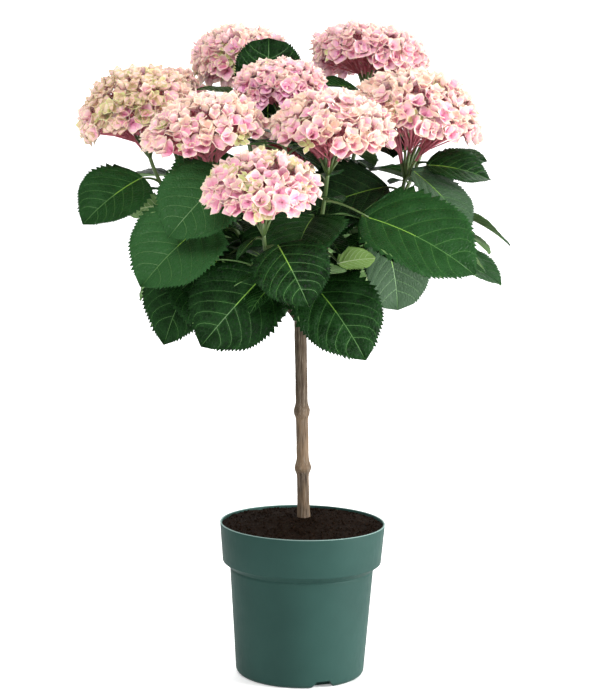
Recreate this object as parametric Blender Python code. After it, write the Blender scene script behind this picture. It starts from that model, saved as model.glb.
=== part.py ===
"""Potted hydrangea on a stem: pot, soil, one trunk, eleven boughs and eleven flowering shoots.

Metres, +Z up. The origin is the centre of the pot's flat underside and the plant's front faces -Y.
The trunk forks into boughs. Each bough carries one shoot, a single body of stem, leaves on their
stalks, and a domed head of florets. Everything is worked out from the sizes named below.
"""

import itertools
import math
from collections import namedtuple

import bmesh
import bpy
from mathutils import Matrix, Vector
from mathutils.bvhtree import BVHTree

GAP = 0.0003                  # between pieces that rest on each other

# Pot, a thin-walled round container with a wide band at its rim
POT_SIDES = 40
POT_HEIGHT = 0.1772
POT_RIM_RADIUS = 0.095
POT_BAND_FOOT = 0.1297        # height at which the wide band starts
POT_BAND_RADIUS = 0.0907
POT_NECK = 0.1220             # height at which the shoulder under the band ends
POT_NECK_RADIUS = 0.0825
POT_BASE_RADIUS = 0.0742
POT_EDGE = 0.0070             # rounding between the wall and the underside
POT_EDGE_STEPS = (0, 35, 65, 90)                # degrees round it
POT_WALL = 0.0019
POT_FLOOR = 0.0105
NOTCH_COUNT = 3
NOTCH_TURN = -68.5            # heading of the first notch under the edge, degrees
NOTCH_FOOT_WIDTH = 0.028
NOTCH_TOP_WIDTH = 0.017
NOTCH_HEIGHT = 0.007
NOTCH_DEPTH = 0.016

# Soil, mounded from the wall up to the foot of the trunk
SOIL_EDGE_HEIGHT = 0.1730
SOIL_TOP = 0.1805
SOIL_FLAT_RADIUS = 0.020
SOIL_MOUND = ((0.080, 0.42), (0.050, 0.80))     # radius, and share of the rise from edge to top

# Trunk
TRUNK_SIDES = 10
TRUNK_RINGS = 24
TRUNK_FOOT = Vector((0.0013, 0.011, SOIL_TOP + GAP))
TRUNK_TOP = Vector((-0.0091, 0.010, 0.470))
TRUNK_FOOT_RADIUS = 0.0071
TRUNK_TOP_RADIUS = 0.0052
ROOT_FLARE = 0.0030           # extra radius where the trunk leaves the soil
ROOT_FLARE_HEIGHT = 0.008
TRUNK_NODES = (0.239, 0.305)  # heights of the swollen old leaf joints
NODE_SWELL = 0.0026
NODE_SPAN = 0.006

# Boughs and the stems that carry on from them
BOUGH_SIDES = 6
BOUGH_RINGS = 5
BOUGH_SHARE = 0.34            # part of the way to the flower head that is woody bough
BOUGH_COLLAR = 0.0042         # radius where it leaves the trunk
BOUGH_RADIUS = 0.0036
BOUGH_TIP_RADIUS = 0.0028
STEM_SIDES = 5
STEM_RINGS = 6
STEM_TIP_RADIUS = 0.0022
LEAVE_RISE = 38.0             # degrees above level at which a bough leaves the trunk
LIMB_HANDLE = 0.33            # how far its first and last direction carry, as a share of its span
HUB_SHARE = 0.985             # where on a stem the stalks of its head part

# Leaves
PETIOLE_RADIUS = 0.0014
PETIOLE_BOW = 0.08            # rise of a leaf stalk's middle, as a share of its length
LEAF_RATIO = 0.78             # width over length
LEAF_THICKNESS = 1 / 45       # of its length, at the midrib
LEAF_FOLD = 9.0               # degrees that each half rises from the midrib
BLADE_SHOULDER = 0.48         # power that rounds the blade's base
BLADE_TAPER = 0.66            # power that draws out its tip
LEAF_STATIONS = (0.10, 0.34, 0.62, 0.86)
PAIR_SPACING = 0.07           # least share of the stem between a pair and another leaf's joint
LEAF_MARGIN = 0.0018          # clear space kept round a blade
STALK_SPACE = 0.0029          # radius of the space kept for a leaf stalk
LEAF_TURNS = (0, 7, -7, 14, -14, 21, -21, 28, -28)
LEAF_LIFTS = (0, -8, 8, -16, 16)
LEAF_SIZES = (1.0, 0.8, 0.62)

# Flower heads
FLORETS = 20
FLORET_RADIUS = 0.0162
FLORET_DISH = 0.0040          # how far its middle lies below its petals' tips
FLORET_ROOT = 0.70            # its root, as a share of the way out to the dome
FLORET_TURN = 2.4             # radians by which each floret is turned from the one before
HEAD_REACH = 106.0            # degrees from the top of the dome to its lowest florets
HEAD_INSET = 0.0020           # of the dome inside the head's full width
HEAD_HOLLOW = 0.2             # depth of its hollow underside below its middle, as a share
CORE_SHARE = 0.84
CORE_SIDES = 8
CORE_RINGS = 4
HEAD_MARGIN = 1.07            # size, next to the dome's, of the space kept for a head
MARGIN_SIDES = 16
MARGIN_RINGS = 7
STALKS = 5
STALK_RADIUS = 0.0012
STALK_POLAR = 100.0           # degrees from the top of the dome to where its stalks end
STALK_SHARE = 0.56            # how far out to the dome they end
GOLDEN_TURN = math.pi * (3 - math.sqrt(5))

# One row a shoot. joint is the height at which its bough leaves the trunk. heading, reach and
# height place the middle of its head, seen from the trunk. lean tilts the head outwards. stalk
# is the length from that middle down to the hub where the head's stalks meet, and rise the
# height of the dome above its middle. pair turns the pairs of leaves round the stem.
Shoot = namedtuple("Shoot", "name joint heading reach height lean stalk width rise pair")
SHOOTS = (
    Shoot("left", 0.424, 177, 0.185, 0.637, 16, 0.045, 0.140, 0.056, 90),
    Shoot("near_left", 0.439, -136, 0.147, 0.619, 16, 0.042, 0.138, 0.047, 20),
    Shoot("front", 0.408, -102, 0.198, 0.568, 18, 0.046, 0.126, 0.041, 40),
    Shoot("back_left", 0.454, 120, 0.150, 0.706, 10, 0.042, 0.126, 0.035, 75),
    Shoot("middle", 0.471, 200, 0.027, 0.675, 4, 0.036, 0.106, 0.031, 10),
    Shoot("near_right", 0.449, -73, 0.109, 0.624, 14, 0.042, 0.136, 0.048, 60),
    Shoot("right", 0.421, 0, 0.126, 0.636, 8, 0.062, 0.154, 0.060, 90),
    Shoot("back_right", 0.441, 57, 0.144, 0.712, 12, 0.042, 0.138, 0.035, 30),
    Shoot("back", 0.428, 90, 0.182, 0.602, 22, 0.044, 0.124, 0.042, 0),
    Shoot("far_left", 0.411, 134, 0.245, 0.655, 20, 0.044, 0.112, 0.038, 45),
    Shoot("far_right", 0.406, 48, 0.235, 0.650, 20, 0.044, 0.108, 0.037, 45),
)

# One row a leaf that has its own place. at is its joint on the stem, 0 at the trunk and 1 at the
# hub. petiole and blade each have a heading, a rise above level and a length. droop is how far
# the blade bends down along its length, and roll how far its left edge is turned up.
Leaf = namedtuple("Leaf", "at petiole blade droop roll ratio", defaults=(35, 0, LEAF_RATIO))
LEAVES = {
    "left": (
        Leaf(0.85, (-153, 20, 0.024), (-150, -35, 0.092), 35, -35, 0.95),
        Leaf(0.76, (-140, -25, 0.013), (-150, -10, 0.044), 25, 60, 0.75),
        Leaf(0.64, (135, 35, 0.015), (155, -25, 0.055), 30, 0),
        Leaf(0.50, (-85, -10, 0.027), (-145, -61, 0.126), 40, -30, 0.72),
    ),
    "near_left": (
        Leaf(0.80, (-140, -45, 0.020), (-150, -40, 0.112), 35, -35, 0.95),
        Leaf(0.50, (-170, -30, 0.016), (-165, -35, 0.075), 35, -50),
        Leaf(0.40, (30, -60, 0.030), (-60, -70, 0.055)),
    ),
    "middle": (
        Leaf(0.60, (-170, 5, 0.058), (-160, -45, 0.108), 35, -40, 0.95),
        Leaf(0.42, (-120, -10, 0.030), (-125, -50, 0.085), 30, -20),
        Leaf(0.95, (110, 6, 0.060), (92, 84, 0.092), 16, 0, 0.80),
    ),
    "front": (
        Leaf(0.40, (-160, 55, 0.031), (-142, -50, 0.116), 40, -35, 0.84),
        Leaf(0.40, (-15, 30, 0.034), (-37, -46, 0.120), 40, 35, 0.84),
        Leaf(0.90, (-45, 5, 0.022), (-45, -50, 0.080), 35, 35, 1.00),
        Leaf(0.96, (170, 20, 0.009), (-150, -45, 0.034), 20, 0, 0.50),
        Leaf(0.66, (150, 20, 0.030), (155, -5, 0.080)),
        Leaf(0.66, (40, 20, 0.030), (50, -15, 0.080)),
    ),
    "near_right": (
        Leaf(0.80, (5, -20, 0.044), (-15, -25, 0.145), 35, 35, 0.82),
        Leaf(0.45, (-5, -40, 0.032), (-15, 20, 0.035), 20, -40),
    ),
    "right": (
        Leaf(0.90, (-125, 25, 0.021), (-145, -20, 0.115), 30, -35, 0.85),
        Leaf(0.95, (-50, 55, 0.023), (-20, -45, 0.100), 30, 15, 0.72),
        Leaf(0.97, (0, 35, 0.035), (-10, -25, 0.080), 30, 20),
        Leaf(0.38, (-45, 50, 0.054), (-60, -75, 0.090), 35, 20, 0.85),
    ),
    "far_right": (
        Leaf(0.90, (-40, 0, 0.022), (-10, 5, 0.066), 30, 20),
        Leaf(0.70, (-20, -5, 0.052), (-15, -25, 0.095), 30, -10),
        Leaf(0.50, (-20, -10, 0.048), (-15, -20, 0.115), 35, 10),
    ),
    "back_left": (
        Leaf(0.92, (-140, 45, 0.024), (-150, 5, 0.050), 20, 10, 0.60),
    ),
    "back_right": (
        Leaf(0.90, (-120, 60, 0.030), (-155, 5, 0.048), 20, -20),
    ),
}

# Pairs of leaves that the other joints bear: joint on the stem, length of the petiole, length
# and rise of the blade
PAIRS = ((0.42, 0.034, 0.118, -38), (0.58, 0.032, 0.112, -26),
         (0.74, 0.028, 0.100, -14), (0.90, 0.022, 0.084, 2))
PAIR_RISE = 30                # degrees above level at which their stalks leave the stem
PAIR_DROOP = 38

# A space that is full: its search tree, the shoot it belongs to, and whether that shoot's own
# blades have to stay clear of it too. Its own leaf stalks never have to.
Space = namedtuple("Space", "tree owner strict", defaults=(None, True))


def clear_scene():
    """Remove every object that the file starts with."""
    for obj in list(bpy.data.objects):
        bpy.data.objects.remove(obj, do_unlink=True)


def make_material(name, colour, roughness, metallic=0.0):
    """A plain Principled material."""
    material = bpy.data.materials.new(name)
    material.use_nodes = True
    shader = material.node_tree.nodes["Principled BSDF"]
    shader.inputs["Base Color"].default_value = (*colour, 1.0)
    shader.inputs["Roughness"].default_value = roughness
    shader.inputs["Metallic"].default_value = metallic
    material.diffuse_color = (*colour, 1.0)
    return material


def add_object(name, bm, material, collection=None):
    """Turn a bmesh into an object, shaded smooth but for its sharp edges."""
    mesh = bpy.data.meshes.new(name)
    bm.to_mesh(mesh)
    bm.free()
    mesh.shade_smooth()
    mesh.set_sharp_from_angle(angle=math.radians(35))
    mesh.materials.append(material)
    obj = bpy.data.objects.new(name, mesh)
    (collection or bpy.context.scene.collection).objects.link(obj)
    return obj


def turned(profile, sides):
    """Bmesh of a closed solid turned about Z from a profile that starts and ends on the axis."""
    bm = bmesh.new()
    verts = [bm.verts.new((radius, 0.0, height)) for radius, height in profile]
    edges = [bm.edges.new(pair) for pair in zip(verts, verts[1:])]
    bmesh.ops.spin(bm, geom=verts + edges, cent=(0, 0, 0), axis=(0, 0, 1), dvec=(0, 0, 0),
                   angle=math.tau, steps=sides, use_merge=True)
    bmesh.ops.remove_doubles(bm, verts=bm.verts, dist=1e-6)
    bmesh.ops.recalc_face_normals(bm, faces=bm.faces)
    return bm


def skinned(rings):
    """Bmesh of a closed solid over rings of points, each anticlockwise seen from the last."""
    bm = bmesh.new()
    loops = [[bm.verts.new(point) for point in ring] for ring in rings]
    for low, high in zip(loops, loops[1:]):
        for i in range(len(low)):
            j = (i + 1) % len(low)
            bm.faces.new((low[i], low[j], high[j], high[i]))
    bm.faces.new(tuple(reversed(loops[0])))
    bm.faces.new(tuple(loops[-1]))
    return bm


def tube(points, radii, sides, first_axis=None):
    """Bmesh of a round limb along points, whose first ring may face along first_axis."""
    axes = [points[1] - points[0]]
    axes += [after - before for before, after in zip(points, points[2:])]
    axes += [points[-1] - points[-2]]
    axes[0] = first_axis or axes[0]
    side = axes[0].orthogonal().normalized()
    rings = []
    for point, radius, axis in zip(points, radii, axes):
        axis = axis.normalized()
        side = (side - axis * side.dot(axis)).normalized()
        across = axis.cross(side)
        rings.append([point + radius * (side * math.cos(turn) + across * math.sin(turn))
                      for turn in (math.tau * i / sides for i in range(sides))])
    return skinned(rings)


def bearing(heading, rise):
    """Unit vector at a heading from +X towards +Y and a rise above level, in degrees."""
    turn, lift = math.radians(heading), math.radians(rise)
    return Vector((math.cos(turn) * math.cos(lift), math.sin(turn) * math.cos(lift),
                   math.sin(lift)))


# ---- pot and soil

def band_inside(height):
    """Radius of the inner wall of the pot's wide band at a height."""
    share = (height - POT_BAND_FOOT) / (POT_HEIGHT - POT_BAND_FOOT)
    return POT_BAND_RADIUS + (POT_RIM_RADIUS - POT_BAND_RADIUS) * share - POT_WALL


def inner_wall(gap=0.0):
    """Outline of the pot's inner wall from its floor to the foot of the band, less a gap."""
    floor_radius = POT_BASE_RADIUS + (POT_NECK_RADIUS - POT_BASE_RADIUS) * POT_FLOOR / POT_NECK
    band_foot = POT_BAND_FOOT + POT_WALL
    corners = ((floor_radius - POT_WALL, POT_FLOOR),
               (POT_NECK_RADIUS - POT_WALL, POT_NECK + POT_WALL),
               (band_inside(band_foot), band_foot))
    return [(radius - 2 * gap, height + gap) for radius, height in corners]


def pot_profile():
    """Outline of the pot from the middle of its underside, round the rim, to its inner floor."""
    lip = POT_WALL / 4
    edge = [(POT_BASE_RADIUS - POT_EDGE * (1 - math.sin(turn)), POT_EDGE * (1 - math.cos(turn)))
            for turn in (math.radians(step) for step in POT_EDGE_STEPS)]
    outside = [(POT_NECK_RADIUS, POT_NECK), (POT_BAND_RADIUS, POT_BAND_FOOT),
               (POT_RIM_RADIUS, POT_HEIGHT - lip), (POT_RIM_RADIUS - lip, POT_HEIGHT)]
    inside = [(band_inside(POT_HEIGHT) + lip, POT_HEIGHT),
              (band_inside(POT_HEIGHT), POT_HEIGHT - lip)] + inner_wall()[::-1]
    return [(0.0, 0.0)] + edge + outside + inside + [(0.0, POT_FLOOR)]


def notch_cutter():
    """The tapering notches that leave the pot standing on broad feet, as one cutter."""
    bm = bmesh.new()
    for index in range(NOTCH_COUNT):
        cube = bmesh.ops.create_cube(bm, size=1.0)["verts"]
        for vert in cube:
            width = NOTCH_TOP_WIDTH if vert.co.z > 0 else NOTCH_FOOT_WIDTH
            height = NOTCH_HEIGHT if vert.co.z > 0 else -NOTCH_HEIGHT
            reach = POT_BASE_RADIUS + NOTCH_DEPTH * (0.5 if vert.co.x > 0 else -1)
            vert.co = Vector((reach, vert.co.y * width, height))
        turn = math.radians(NOTCH_TURN + index * 360 / NOTCH_COUNT)
        bmesh.ops.rotate(bm, verts=cube, cent=(0, 0, 0), matrix=Matrix.Rotation(turn, 3, "Z"))
    return bm


def build_pot(material):
    """The pot with its notches cut."""
    pot = add_object("pot", turned(pot_profile(), POT_SIDES), material)
    cutter = add_object("notch_cutter", notch_cutter(), material)
    cutter.hide_render = True
    cutter.display_type = "WIRE"
    cut = pot.modifiers.new("notches", "BOOLEAN")
    cut.operation = "DIFFERENCE"
    cut.object = cutter
    return pot


def build_soil(material):
    """The soil that fills the pot, flat under the foot of the trunk."""
    wall = inner_wall(GAP) + [(band_inside(SOIL_EDGE_HEIGHT) - 2 * GAP, SOIL_EDGE_HEIGHT)]
    mound = [(radius, SOIL_EDGE_HEIGHT + (SOIL_TOP - SOIL_EDGE_HEIGHT) * share)
             for radius, share in SOIL_MOUND + ((SOIL_FLAT_RADIUS, 1.0),)]
    profile = [(0.0, POT_FLOOR + GAP)] + wall + mound + [(0.0, SOIL_TOP)]
    return add_object("soil", turned(profile, POT_SIDES), material)


# ---- trunk and boughs

def trunk_axis(height):
    """Middle of the trunk at a height."""
    share = (height - TRUNK_FOOT.z) / (TRUNK_TOP.z - TRUNK_FOOT.z)
    return TRUNK_FOOT.lerp(TRUNK_TOP, share)


def trunk_radius(height):
    """Radius of the trunk at a height, with its root flare and swollen joints."""
    rise = height - TRUNK_FOOT.z
    share = rise / (TRUNK_TOP.z - TRUNK_FOOT.z)
    radius = TRUNK_FOOT_RADIUS + (TRUNK_TOP_RADIUS - TRUNK_FOOT_RADIUS) * share
    radius += ROOT_FLARE * math.exp(-rise / ROOT_FLARE_HEIGHT)
    for node in TRUNK_NODES:
        radius += NODE_SWELL * math.exp(-((height - node) / NODE_SPAN) ** 2)
    return radius


def build_trunk(material):
    """The trunk from its flat foot on the soil to its fork."""
    span = TRUNK_TOP.z - TRUNK_FOOT.z
    heights = {TRUNK_FOOT.z + span * i / TRUNK_RINGS for i in range(TRUNK_RINGS + 1)}
    heights |= set(TRUNK_NODES)
    rings = []
    for height in sorted(heights):
        middle, radius = trunk_axis(height), trunk_radius(height)
        rings.append([middle + radius * bearing(360 * i / TRUNK_SIDES, 0)
                      for i in range(TRUNK_SIDES)])
    return add_object("trunk", skinned(rings), material)


def head_axis(shoot):
    """Direction that the top of a shoot's head faces."""
    return bearing(shoot.heading, 90 - shoot.lean)


def head_middle(shoot):
    """Middle of a shoot's head."""
    middle = TRUNK_TOP + shoot.reach * bearing(shoot.heading, 0)
    middle.z = shoot.height
    return middle


def bough_start(shoot):
    """Where a bough leaves the trunk, and the level direction that its first ring faces."""
    if shoot.joint > TRUNK_TOP.z:
        return TRUNK_TOP + Vector((0, 0, GAP)), Vector((0, 0, 1))
    away = bearing(shoot.heading, 0)
    reach = trunk_radius(shoot.joint) + GAP
    return trunk_axis(shoot.joint) + away * reach, away


def limb_point(shoot, share):
    """Point on the line of a shoot, bough and stem, from the trunk 0 to the hub 1."""
    start, facing = bough_start(shoot)
    axis = head_axis(shoot)
    end = head_middle(shoot) - axis * shoot.stalk
    span = (end - start).length
    leave = facing if facing.z else bearing(shoot.heading, LEAVE_RISE)
    first = start + leave * span * LIMB_HANDLE
    second = end - axis * span * LIMB_HANDLE
    rest = 1 - share
    return (rest ** 3 * start + 3 * rest ** 2 * share * first
            + 3 * rest * share ** 2 * second + share ** 3 * end)


def limb_tube(shoot, first, last, radii, sides, first_axis=None):
    """Bmesh of a limb between two shares of a shoot's line, with one ring for each radius."""
    steps = len(radii) - 1
    points = [limb_point(shoot, first + (last - first) * i / steps) for i in range(steps + 1)]
    return tube(points, radii, sides, first_axis)


def bough_mesh(shoot):
    """Bmesh of the woody bough, swollen where it leaves the trunk."""
    taper = [BOUGH_RADIUS + (BOUGH_TIP_RADIUS - BOUGH_RADIUS) * i / BOUGH_RINGS
             for i in range(1, BOUGH_RINGS + 1)]
    return limb_tube(shoot, 0.0, BOUGH_SHARE, [BOUGH_COLLAR] + taper, BOUGH_SIDES,
                     bough_start(shoot)[1])


def stem_mesh(shoot):
    """Bmesh of the green stem from just past the bough's tip to the hub of the head."""
    start = limb_point(shoot, BOUGH_SHARE)
    length = (limb_point(shoot, 1.0) - start).length
    first = BOUGH_SHARE + 1.5 * GAP / length
    radii = [BOUGH_TIP_RADIUS + (STEM_TIP_RADIUS - BOUGH_TIP_RADIUS) * i / STEM_RINGS
             for i in range(STEM_RINGS + 1)]
    return limb_tube(shoot, first, 1.0, radii, STEM_SIDES)


# ---- leaves

def blade_width(share):
    """Half width of a blade at a share of its length, as a part of its widest."""
    peak = BLADE_SHOULDER / (BLADE_SHOULDER + BLADE_TAPER)
    return (share / peak) ** BLADE_SHOULDER * ((1 - share) / (1 - peak)) ** BLADE_TAPER


def blade_point(leaf, share, across, lift=0.0):
    """Point of a blade in its own space: X along its chord, Y to its left, Z out of its face."""
    length = leaf.blade[2]
    bend = math.radians(max(leaf.droop, 0.5))
    slope = bend * (0.5 - share)
    along = length / bend * (math.sin(bend / 2) - math.sin(slope))
    height = length / bend * (math.cos(slope) - math.cos(bend / 2))
    reach = abs(across) * blade_width(share) * length * leaf.ratio / 2
    rise = reach * math.sin(math.radians(LEAF_FOLD)) + lift
    side = math.copysign(reach * math.cos(math.radians(LEAF_FOLD)), across)
    return Vector((along - rise * math.sin(slope), side, height + rise * math.cos(slope)))


def blade_place(leaf, base):
    """Matrix that puts a blade's own space at its base."""
    chord = bearing(leaf.blade[0], leaf.blade[1])
    left = bearing(leaf.blade[0] + 90, 0)
    turn = Matrix.Rotation(math.radians(leaf.roll), 3, chord)
    left = turn @ left
    face = chord.cross(left)
    place = Matrix((chord, left, face)).transposed().to_4x4()
    place.translation = base
    return place


def blade_mesh(leaf, base, margin=0.0):
    """Bmesh of a blade, thick at the midrib and thin at its edge, grown by a margin."""
    place = blade_place(leaf, base)
    length = leaf.blade[2]
    wide = 1 + 2 * margin / length
    thick = length * LEAF_THICKNESS / 2 + margin
    bm = bmesh.new()

    def vert(share, across=0.0, lift=0.0):
        return bm.verts.new(place @ blade_point(leaf, share, across * wide, lift))

    root, tip = vert(0.0), vert(1.0)
    rows = [(vert(s, -1), vert(s, 0, thick), vert(s, 1), vert(s, 0, -thick))
            for s in LEAF_STATIONS]
    for i in range(4):
        j = (i + 1) % 4
        bm.faces.new((root, rows[0][j], rows[0][i]))
        bm.faces.new((tip, rows[-1][i], rows[-1][j]))
        for low, high in zip(rows, rows[1:]):
            bm.faces.new((low[i], low[j], high[j], high[i]))
    bmesh.ops.recalc_face_normals(bm, faces=bm.faces)
    return bm


def petiole_line(shoot, leaf):
    """Points of a bowed leaf stalk from the middle of the stem to the base of its blade."""
    start = limb_point(shoot, leaf.at)
    heading, rise, length = leaf.petiole
    end = start + length * bearing(heading, rise)
    bow = Vector((0, 0, PETIOLE_BOW * length))
    return [start, start.lerp(end, 0.5) + bow, end]


def petiole_mesh(shoot, leaf):
    """Bmesh of a three-sided leaf stalk that runs a little way into its blade."""
    start, middle, end = petiole_line(shoot, leaf)
    inside = blade_place(leaf, end) @ blade_point(leaf, LEAF_STATIONS[0], 0)
    return tube([start, middle, inside], [PETIOLE_RADIUS] * 3, 3)


def turned_leaf(leaf, size, lift, turn):
    """The leaf made size times as long, raised by lift and swung round its joint by turn."""
    heading, rise, length = leaf.petiole
    petiole = (heading + turn, rise + lift / 2, length * size)
    heading, rise, length = leaf.blade
    blade = (heading + turn, rise + lift, length * size)
    return leaf._replace(petiole=petiole, blade=blade)


def tree_of(bm):
    """Search tree of a bmesh, which is freed."""
    tree = BVHTree.FromBMesh(bm)
    bm.free()
    return tree


def is_clear(shoot, blade, stalk, taken):
    """Whether a leaf of a shoot, as two search trees, is clear of every space taken."""
    for space in taken:
        own = space.owner == shoot.name
        if (space.strict or not own) and space.tree.overlap(blade):
            return False
        if not own and space.tree.overlap(stalk):
            return False
    return True


def settle_leaf(shoot, leaf, taken):
    """The leaf turned aside, or made smaller, until it is clear of all that is taken, or None."""
    for size, lift, turn in itertools.product(LEAF_SIZES, LEAF_LIFTS, LEAF_TURNS):
        tried = turned_leaf(leaf, size, lift, turn)
        line = petiole_line(shoot, tried)
        blade = tree_of(blade_mesh(tried, line[-1], LEAF_MARGIN))
        stalk = tree_of(tube(line, [STALK_SPACE] * 3, 3))
        if is_clear(shoot, blade, stalk, taken):
            taken += [Space(blade), Space(stalk, shoot.name)]
            return tried
    return None


def own_leaves(shoot):
    """Leaves of a shoot that have their own place."""
    return LEAVES.get(shoot.name, ())


def paired_leaves(shoot):
    """Leaves in pairs at the other joints of the stem, each pair at right angles to the last."""
    for index, (at, petiole, blade, rise) in enumerate(PAIRS):
        bare = all(abs(leaf.at - at) > PAIR_SPACING for leaf in own_leaves(shoot))
        for half in (0, 180) if bare else ():
            heading = shoot.heading + shoot.pair + 90 * index + half
            yield Leaf(at, (heading, PAIR_RISE, petiole), (heading, rise, blade), PAIR_DROOP)


def place_leaves(taken):
    """Settled leaves of every shoot: first those with their own place, then the pairs."""
    placed = {shoot.name: [] for shoot in SHOOTS}
    for source in (own_leaves, paired_leaves):
        for shoot in SHOOTS:
            for leaf in source(shoot):
                settled = settle_leaf(shoot, leaf, taken)
                if settled:
                    placed[shoot.name].append(settled)
    return placed


# ---- flower heads

def head_place(shoot):
    """Matrix that puts a head's own space, with its top along +Z, in its place."""
    turn = Vector((0, 0, 1)).rotation_difference(head_axis(shoot))
    return Matrix.Translation(head_middle(shoot)) @ turn.to_matrix().to_4x4()


def dome_half_sizes(shoot):
    """Half width and height of a head's dome."""
    return shoot.width / 2 - HEAD_INSET, shoot.rise


def dome_point(shoot, polar, turn, share=1.0):
    """Point of a head's dome in its own space, at an angle from its top and a turn round it."""
    wide, high = dome_half_sizes(shoot)
    level = wide * math.sin(polar)
    return share * Vector((level * math.cos(turn), level * math.sin(turn), high * math.cos(polar)))


def dome_mesh(shoot, share, sides, count):
    """Bmesh of a head's dome with a count of rings, hollowed underneath."""
    bm = bmesh.new()
    polars = [math.radians(HEAD_REACH) * i / count for i in range(1, count + 1)]
    rings = [[bm.verts.new(dome_point(shoot, polar, math.tau * i / sides, share))
              for i in range(sides)] for polar in polars]
    top = bm.verts.new(dome_point(shoot, 0, 0, share))
    low = bm.verts.new(dome_point(shoot, math.pi, 0, share * HEAD_HOLLOW))
    for i in range(sides):
        j = (i + 1) % sides
        bm.faces.new((top, rings[0][i], rings[0][j]))
        bm.faces.new((low, rings[-1][j], rings[-1][i]))
        for upper, lower in zip(rings, rings[1:]):
            bm.faces.new((upper[i], lower[i], lower[j], upper[j]))
    bmesh.ops.transform(bm, matrix=head_place(shoot), verts=bm.verts)
    return bm


def floret_mesh(middle, facing, root, turn):
    """Bmesh of a four-petalled floret, a square cup whose root is sunk in the head."""
    side = facing.orthogonal().normalized()
    across = facing.cross(side)
    bm = bmesh.new()
    tips = []
    for i in range(4):
        angle = turn + math.tau * i / 4
        level = FLORET_RADIUS * (side * math.cos(angle) + across * math.sin(angle))
        tips.append(bm.verts.new(middle + level))
    low = bm.verts.new(root)
    dish = bm.verts.new(middle - facing * FLORET_DISH)
    for i in range(4):
        j = (i + 1) % 4
        bm.faces.new((tips[j], tips[i], low))
        bm.faces.new((tips[i], tips[j], dish))
    return bm


def floret_places(shoot, count):
    """Middle, facing, root and turn of each floret, spread evenly over a head's dome."""
    wide, high = dome_half_sizes(shoot)
    place = head_place(shoot)
    spin = place.to_3x3()
    lowest = math.cos(math.radians(HEAD_REACH))
    for index in range(count):
        polar = math.acos(1 - (1 - lowest) * (index + 0.5) / count)
        turn = index * GOLDEN_TURN + math.radians(shoot.pair)
        point = dome_point(shoot, polar, turn)
        facing = Vector((point.x / wide ** 2, point.y / wide ** 2, point.z / high ** 2))
        root = place @ (point * FLORET_ROOT)
        yield place @ point, (spin @ facing).normalized(), root, FLORET_TURN * index


def stalk_meshes(shoot):
    """Bmeshes of the stalks that fan from the hub into the underside of the head."""
    place = head_place(shoot)
    hub = limb_point(shoot, HUB_SHARE)
    for i in range(STALKS):
        turn = math.tau * i / STALKS
        target = dome_point(shoot, math.radians(STALK_POLAR), turn, STALK_SHARE)
        yield tube([hub, place @ target], [STALK_RADIUS] * 2, 3)


# ---- shoots

def join_mass(name, pieces):
    """One body made of a stem, the first piece, and everything fused to it."""
    parts = bpy.data.collections.new(name + "_parts")
    bpy.context.scene.collection.children.link(parts)
    stem, *others = pieces
    mass = add_object(name, *stem)
    for index, (bm, material) in enumerate(others):
        add_object(f"{name}_{index}", bm, material, parts)
    union = mass.modifiers.new("union", "BOOLEAN")
    union.operation = "UNION"
    union.operand_type = "COLLECTION"
    union.collection = parts
    union.material_mode = "TRANSFER"
    graph = bpy.context.evaluated_depsgraph_get()
    joined = bpy.data.meshes.new_from_object(mass.evaluated_get(graph))
    mass.modifiers.clear()
    mass.data = joined
    for obj in list(parts.objects):
        bpy.data.objects.remove(obj, do_unlink=True)
    bpy.data.collections.remove(parts)
    return mass


def shoot_pieces(shoot, leaves, foliage, petals):
    """Bmesh and material of a shoot's stem, head and leaves, stem first."""
    yield stem_mesh(shoot), foliage
    yield dome_mesh(shoot, CORE_SHARE, CORE_SIDES, CORE_RINGS), petals
    for stalk in stalk_meshes(shoot):
        yield stalk, foliage
    for floret in floret_places(shoot, FLORETS):
        yield floret_mesh(*floret), petals
    for leaf in leaves:
        yield petiole_mesh(shoot, leaf), foliage
        yield blade_mesh(leaf, petiole_line(shoot, leaf)[-1]), foliage


def build_shoots(foliage, petals, trunk):
    """Every shoot's mass, its leaves kept clear of all the limbs, heads and other leaves."""
    taken = [Space(BVHTree.FromObject(trunk, bpy.context.evaluated_depsgraph_get()))]
    for shoot in SHOOTS:
        taken.append(Space(tree_of(bough_mesh(shoot))))
        taken.append(Space(tree_of(stem_mesh(shoot)), shoot.name))
        dome = dome_mesh(shoot, HEAD_MARGIN, MARGIN_SIDES, MARGIN_RINGS)
        taken.append(Space(tree_of(dome), shoot.name))
        for bm in stalk_meshes(shoot):
            taken.append(Space(tree_of(bm), shoot.name, False))
    leaves = place_leaves(taken)
    for shoot in SHOOTS:
        pieces = shoot_pieces(shoot, leaves[shoot.name], foliage, petals)
        join_mass(shoot.name + "_shoot", pieces)


def main():
    """Build the whole plant in its pot."""
    clear_scene()
    plastic = make_material("pot_plastic", (0.045, 0.125, 0.095), 0.42)
    peat = make_material("soil", (0.020, 0.011, 0.008), 0.95)
    bark = make_material("bark", (0.200, 0.150, 0.105), 0.85)
    foliage = make_material("foliage", (0.050, 0.130, 0.045), 0.50)
    petals = make_material("petals", (0.800, 0.480, 0.560), 0.60)
    build_pot(plastic)
    build_soil(peat)
    trunk = build_trunk(bark)
    for shoot in SHOOTS:
        add_object(shoot.name + "_bough", bough_mesh(shoot), bark)
    build_shoots(foliage, petals, trunk)


main()
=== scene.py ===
"""Looks of a potted hydrangea on a stem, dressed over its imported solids.

Metres, +Z up. The origin is the centre of the pot's flat underside and the plant's front faces -Y.
The pot, the soil and the woody limbs are modelled again with fine relief. Each shoot grows again
by the rule of its solid: the same stem and the same settled leaves, here with veins and toothed
edges, and the same dome, here filled with cupped florets on their own stalks.
"""

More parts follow.
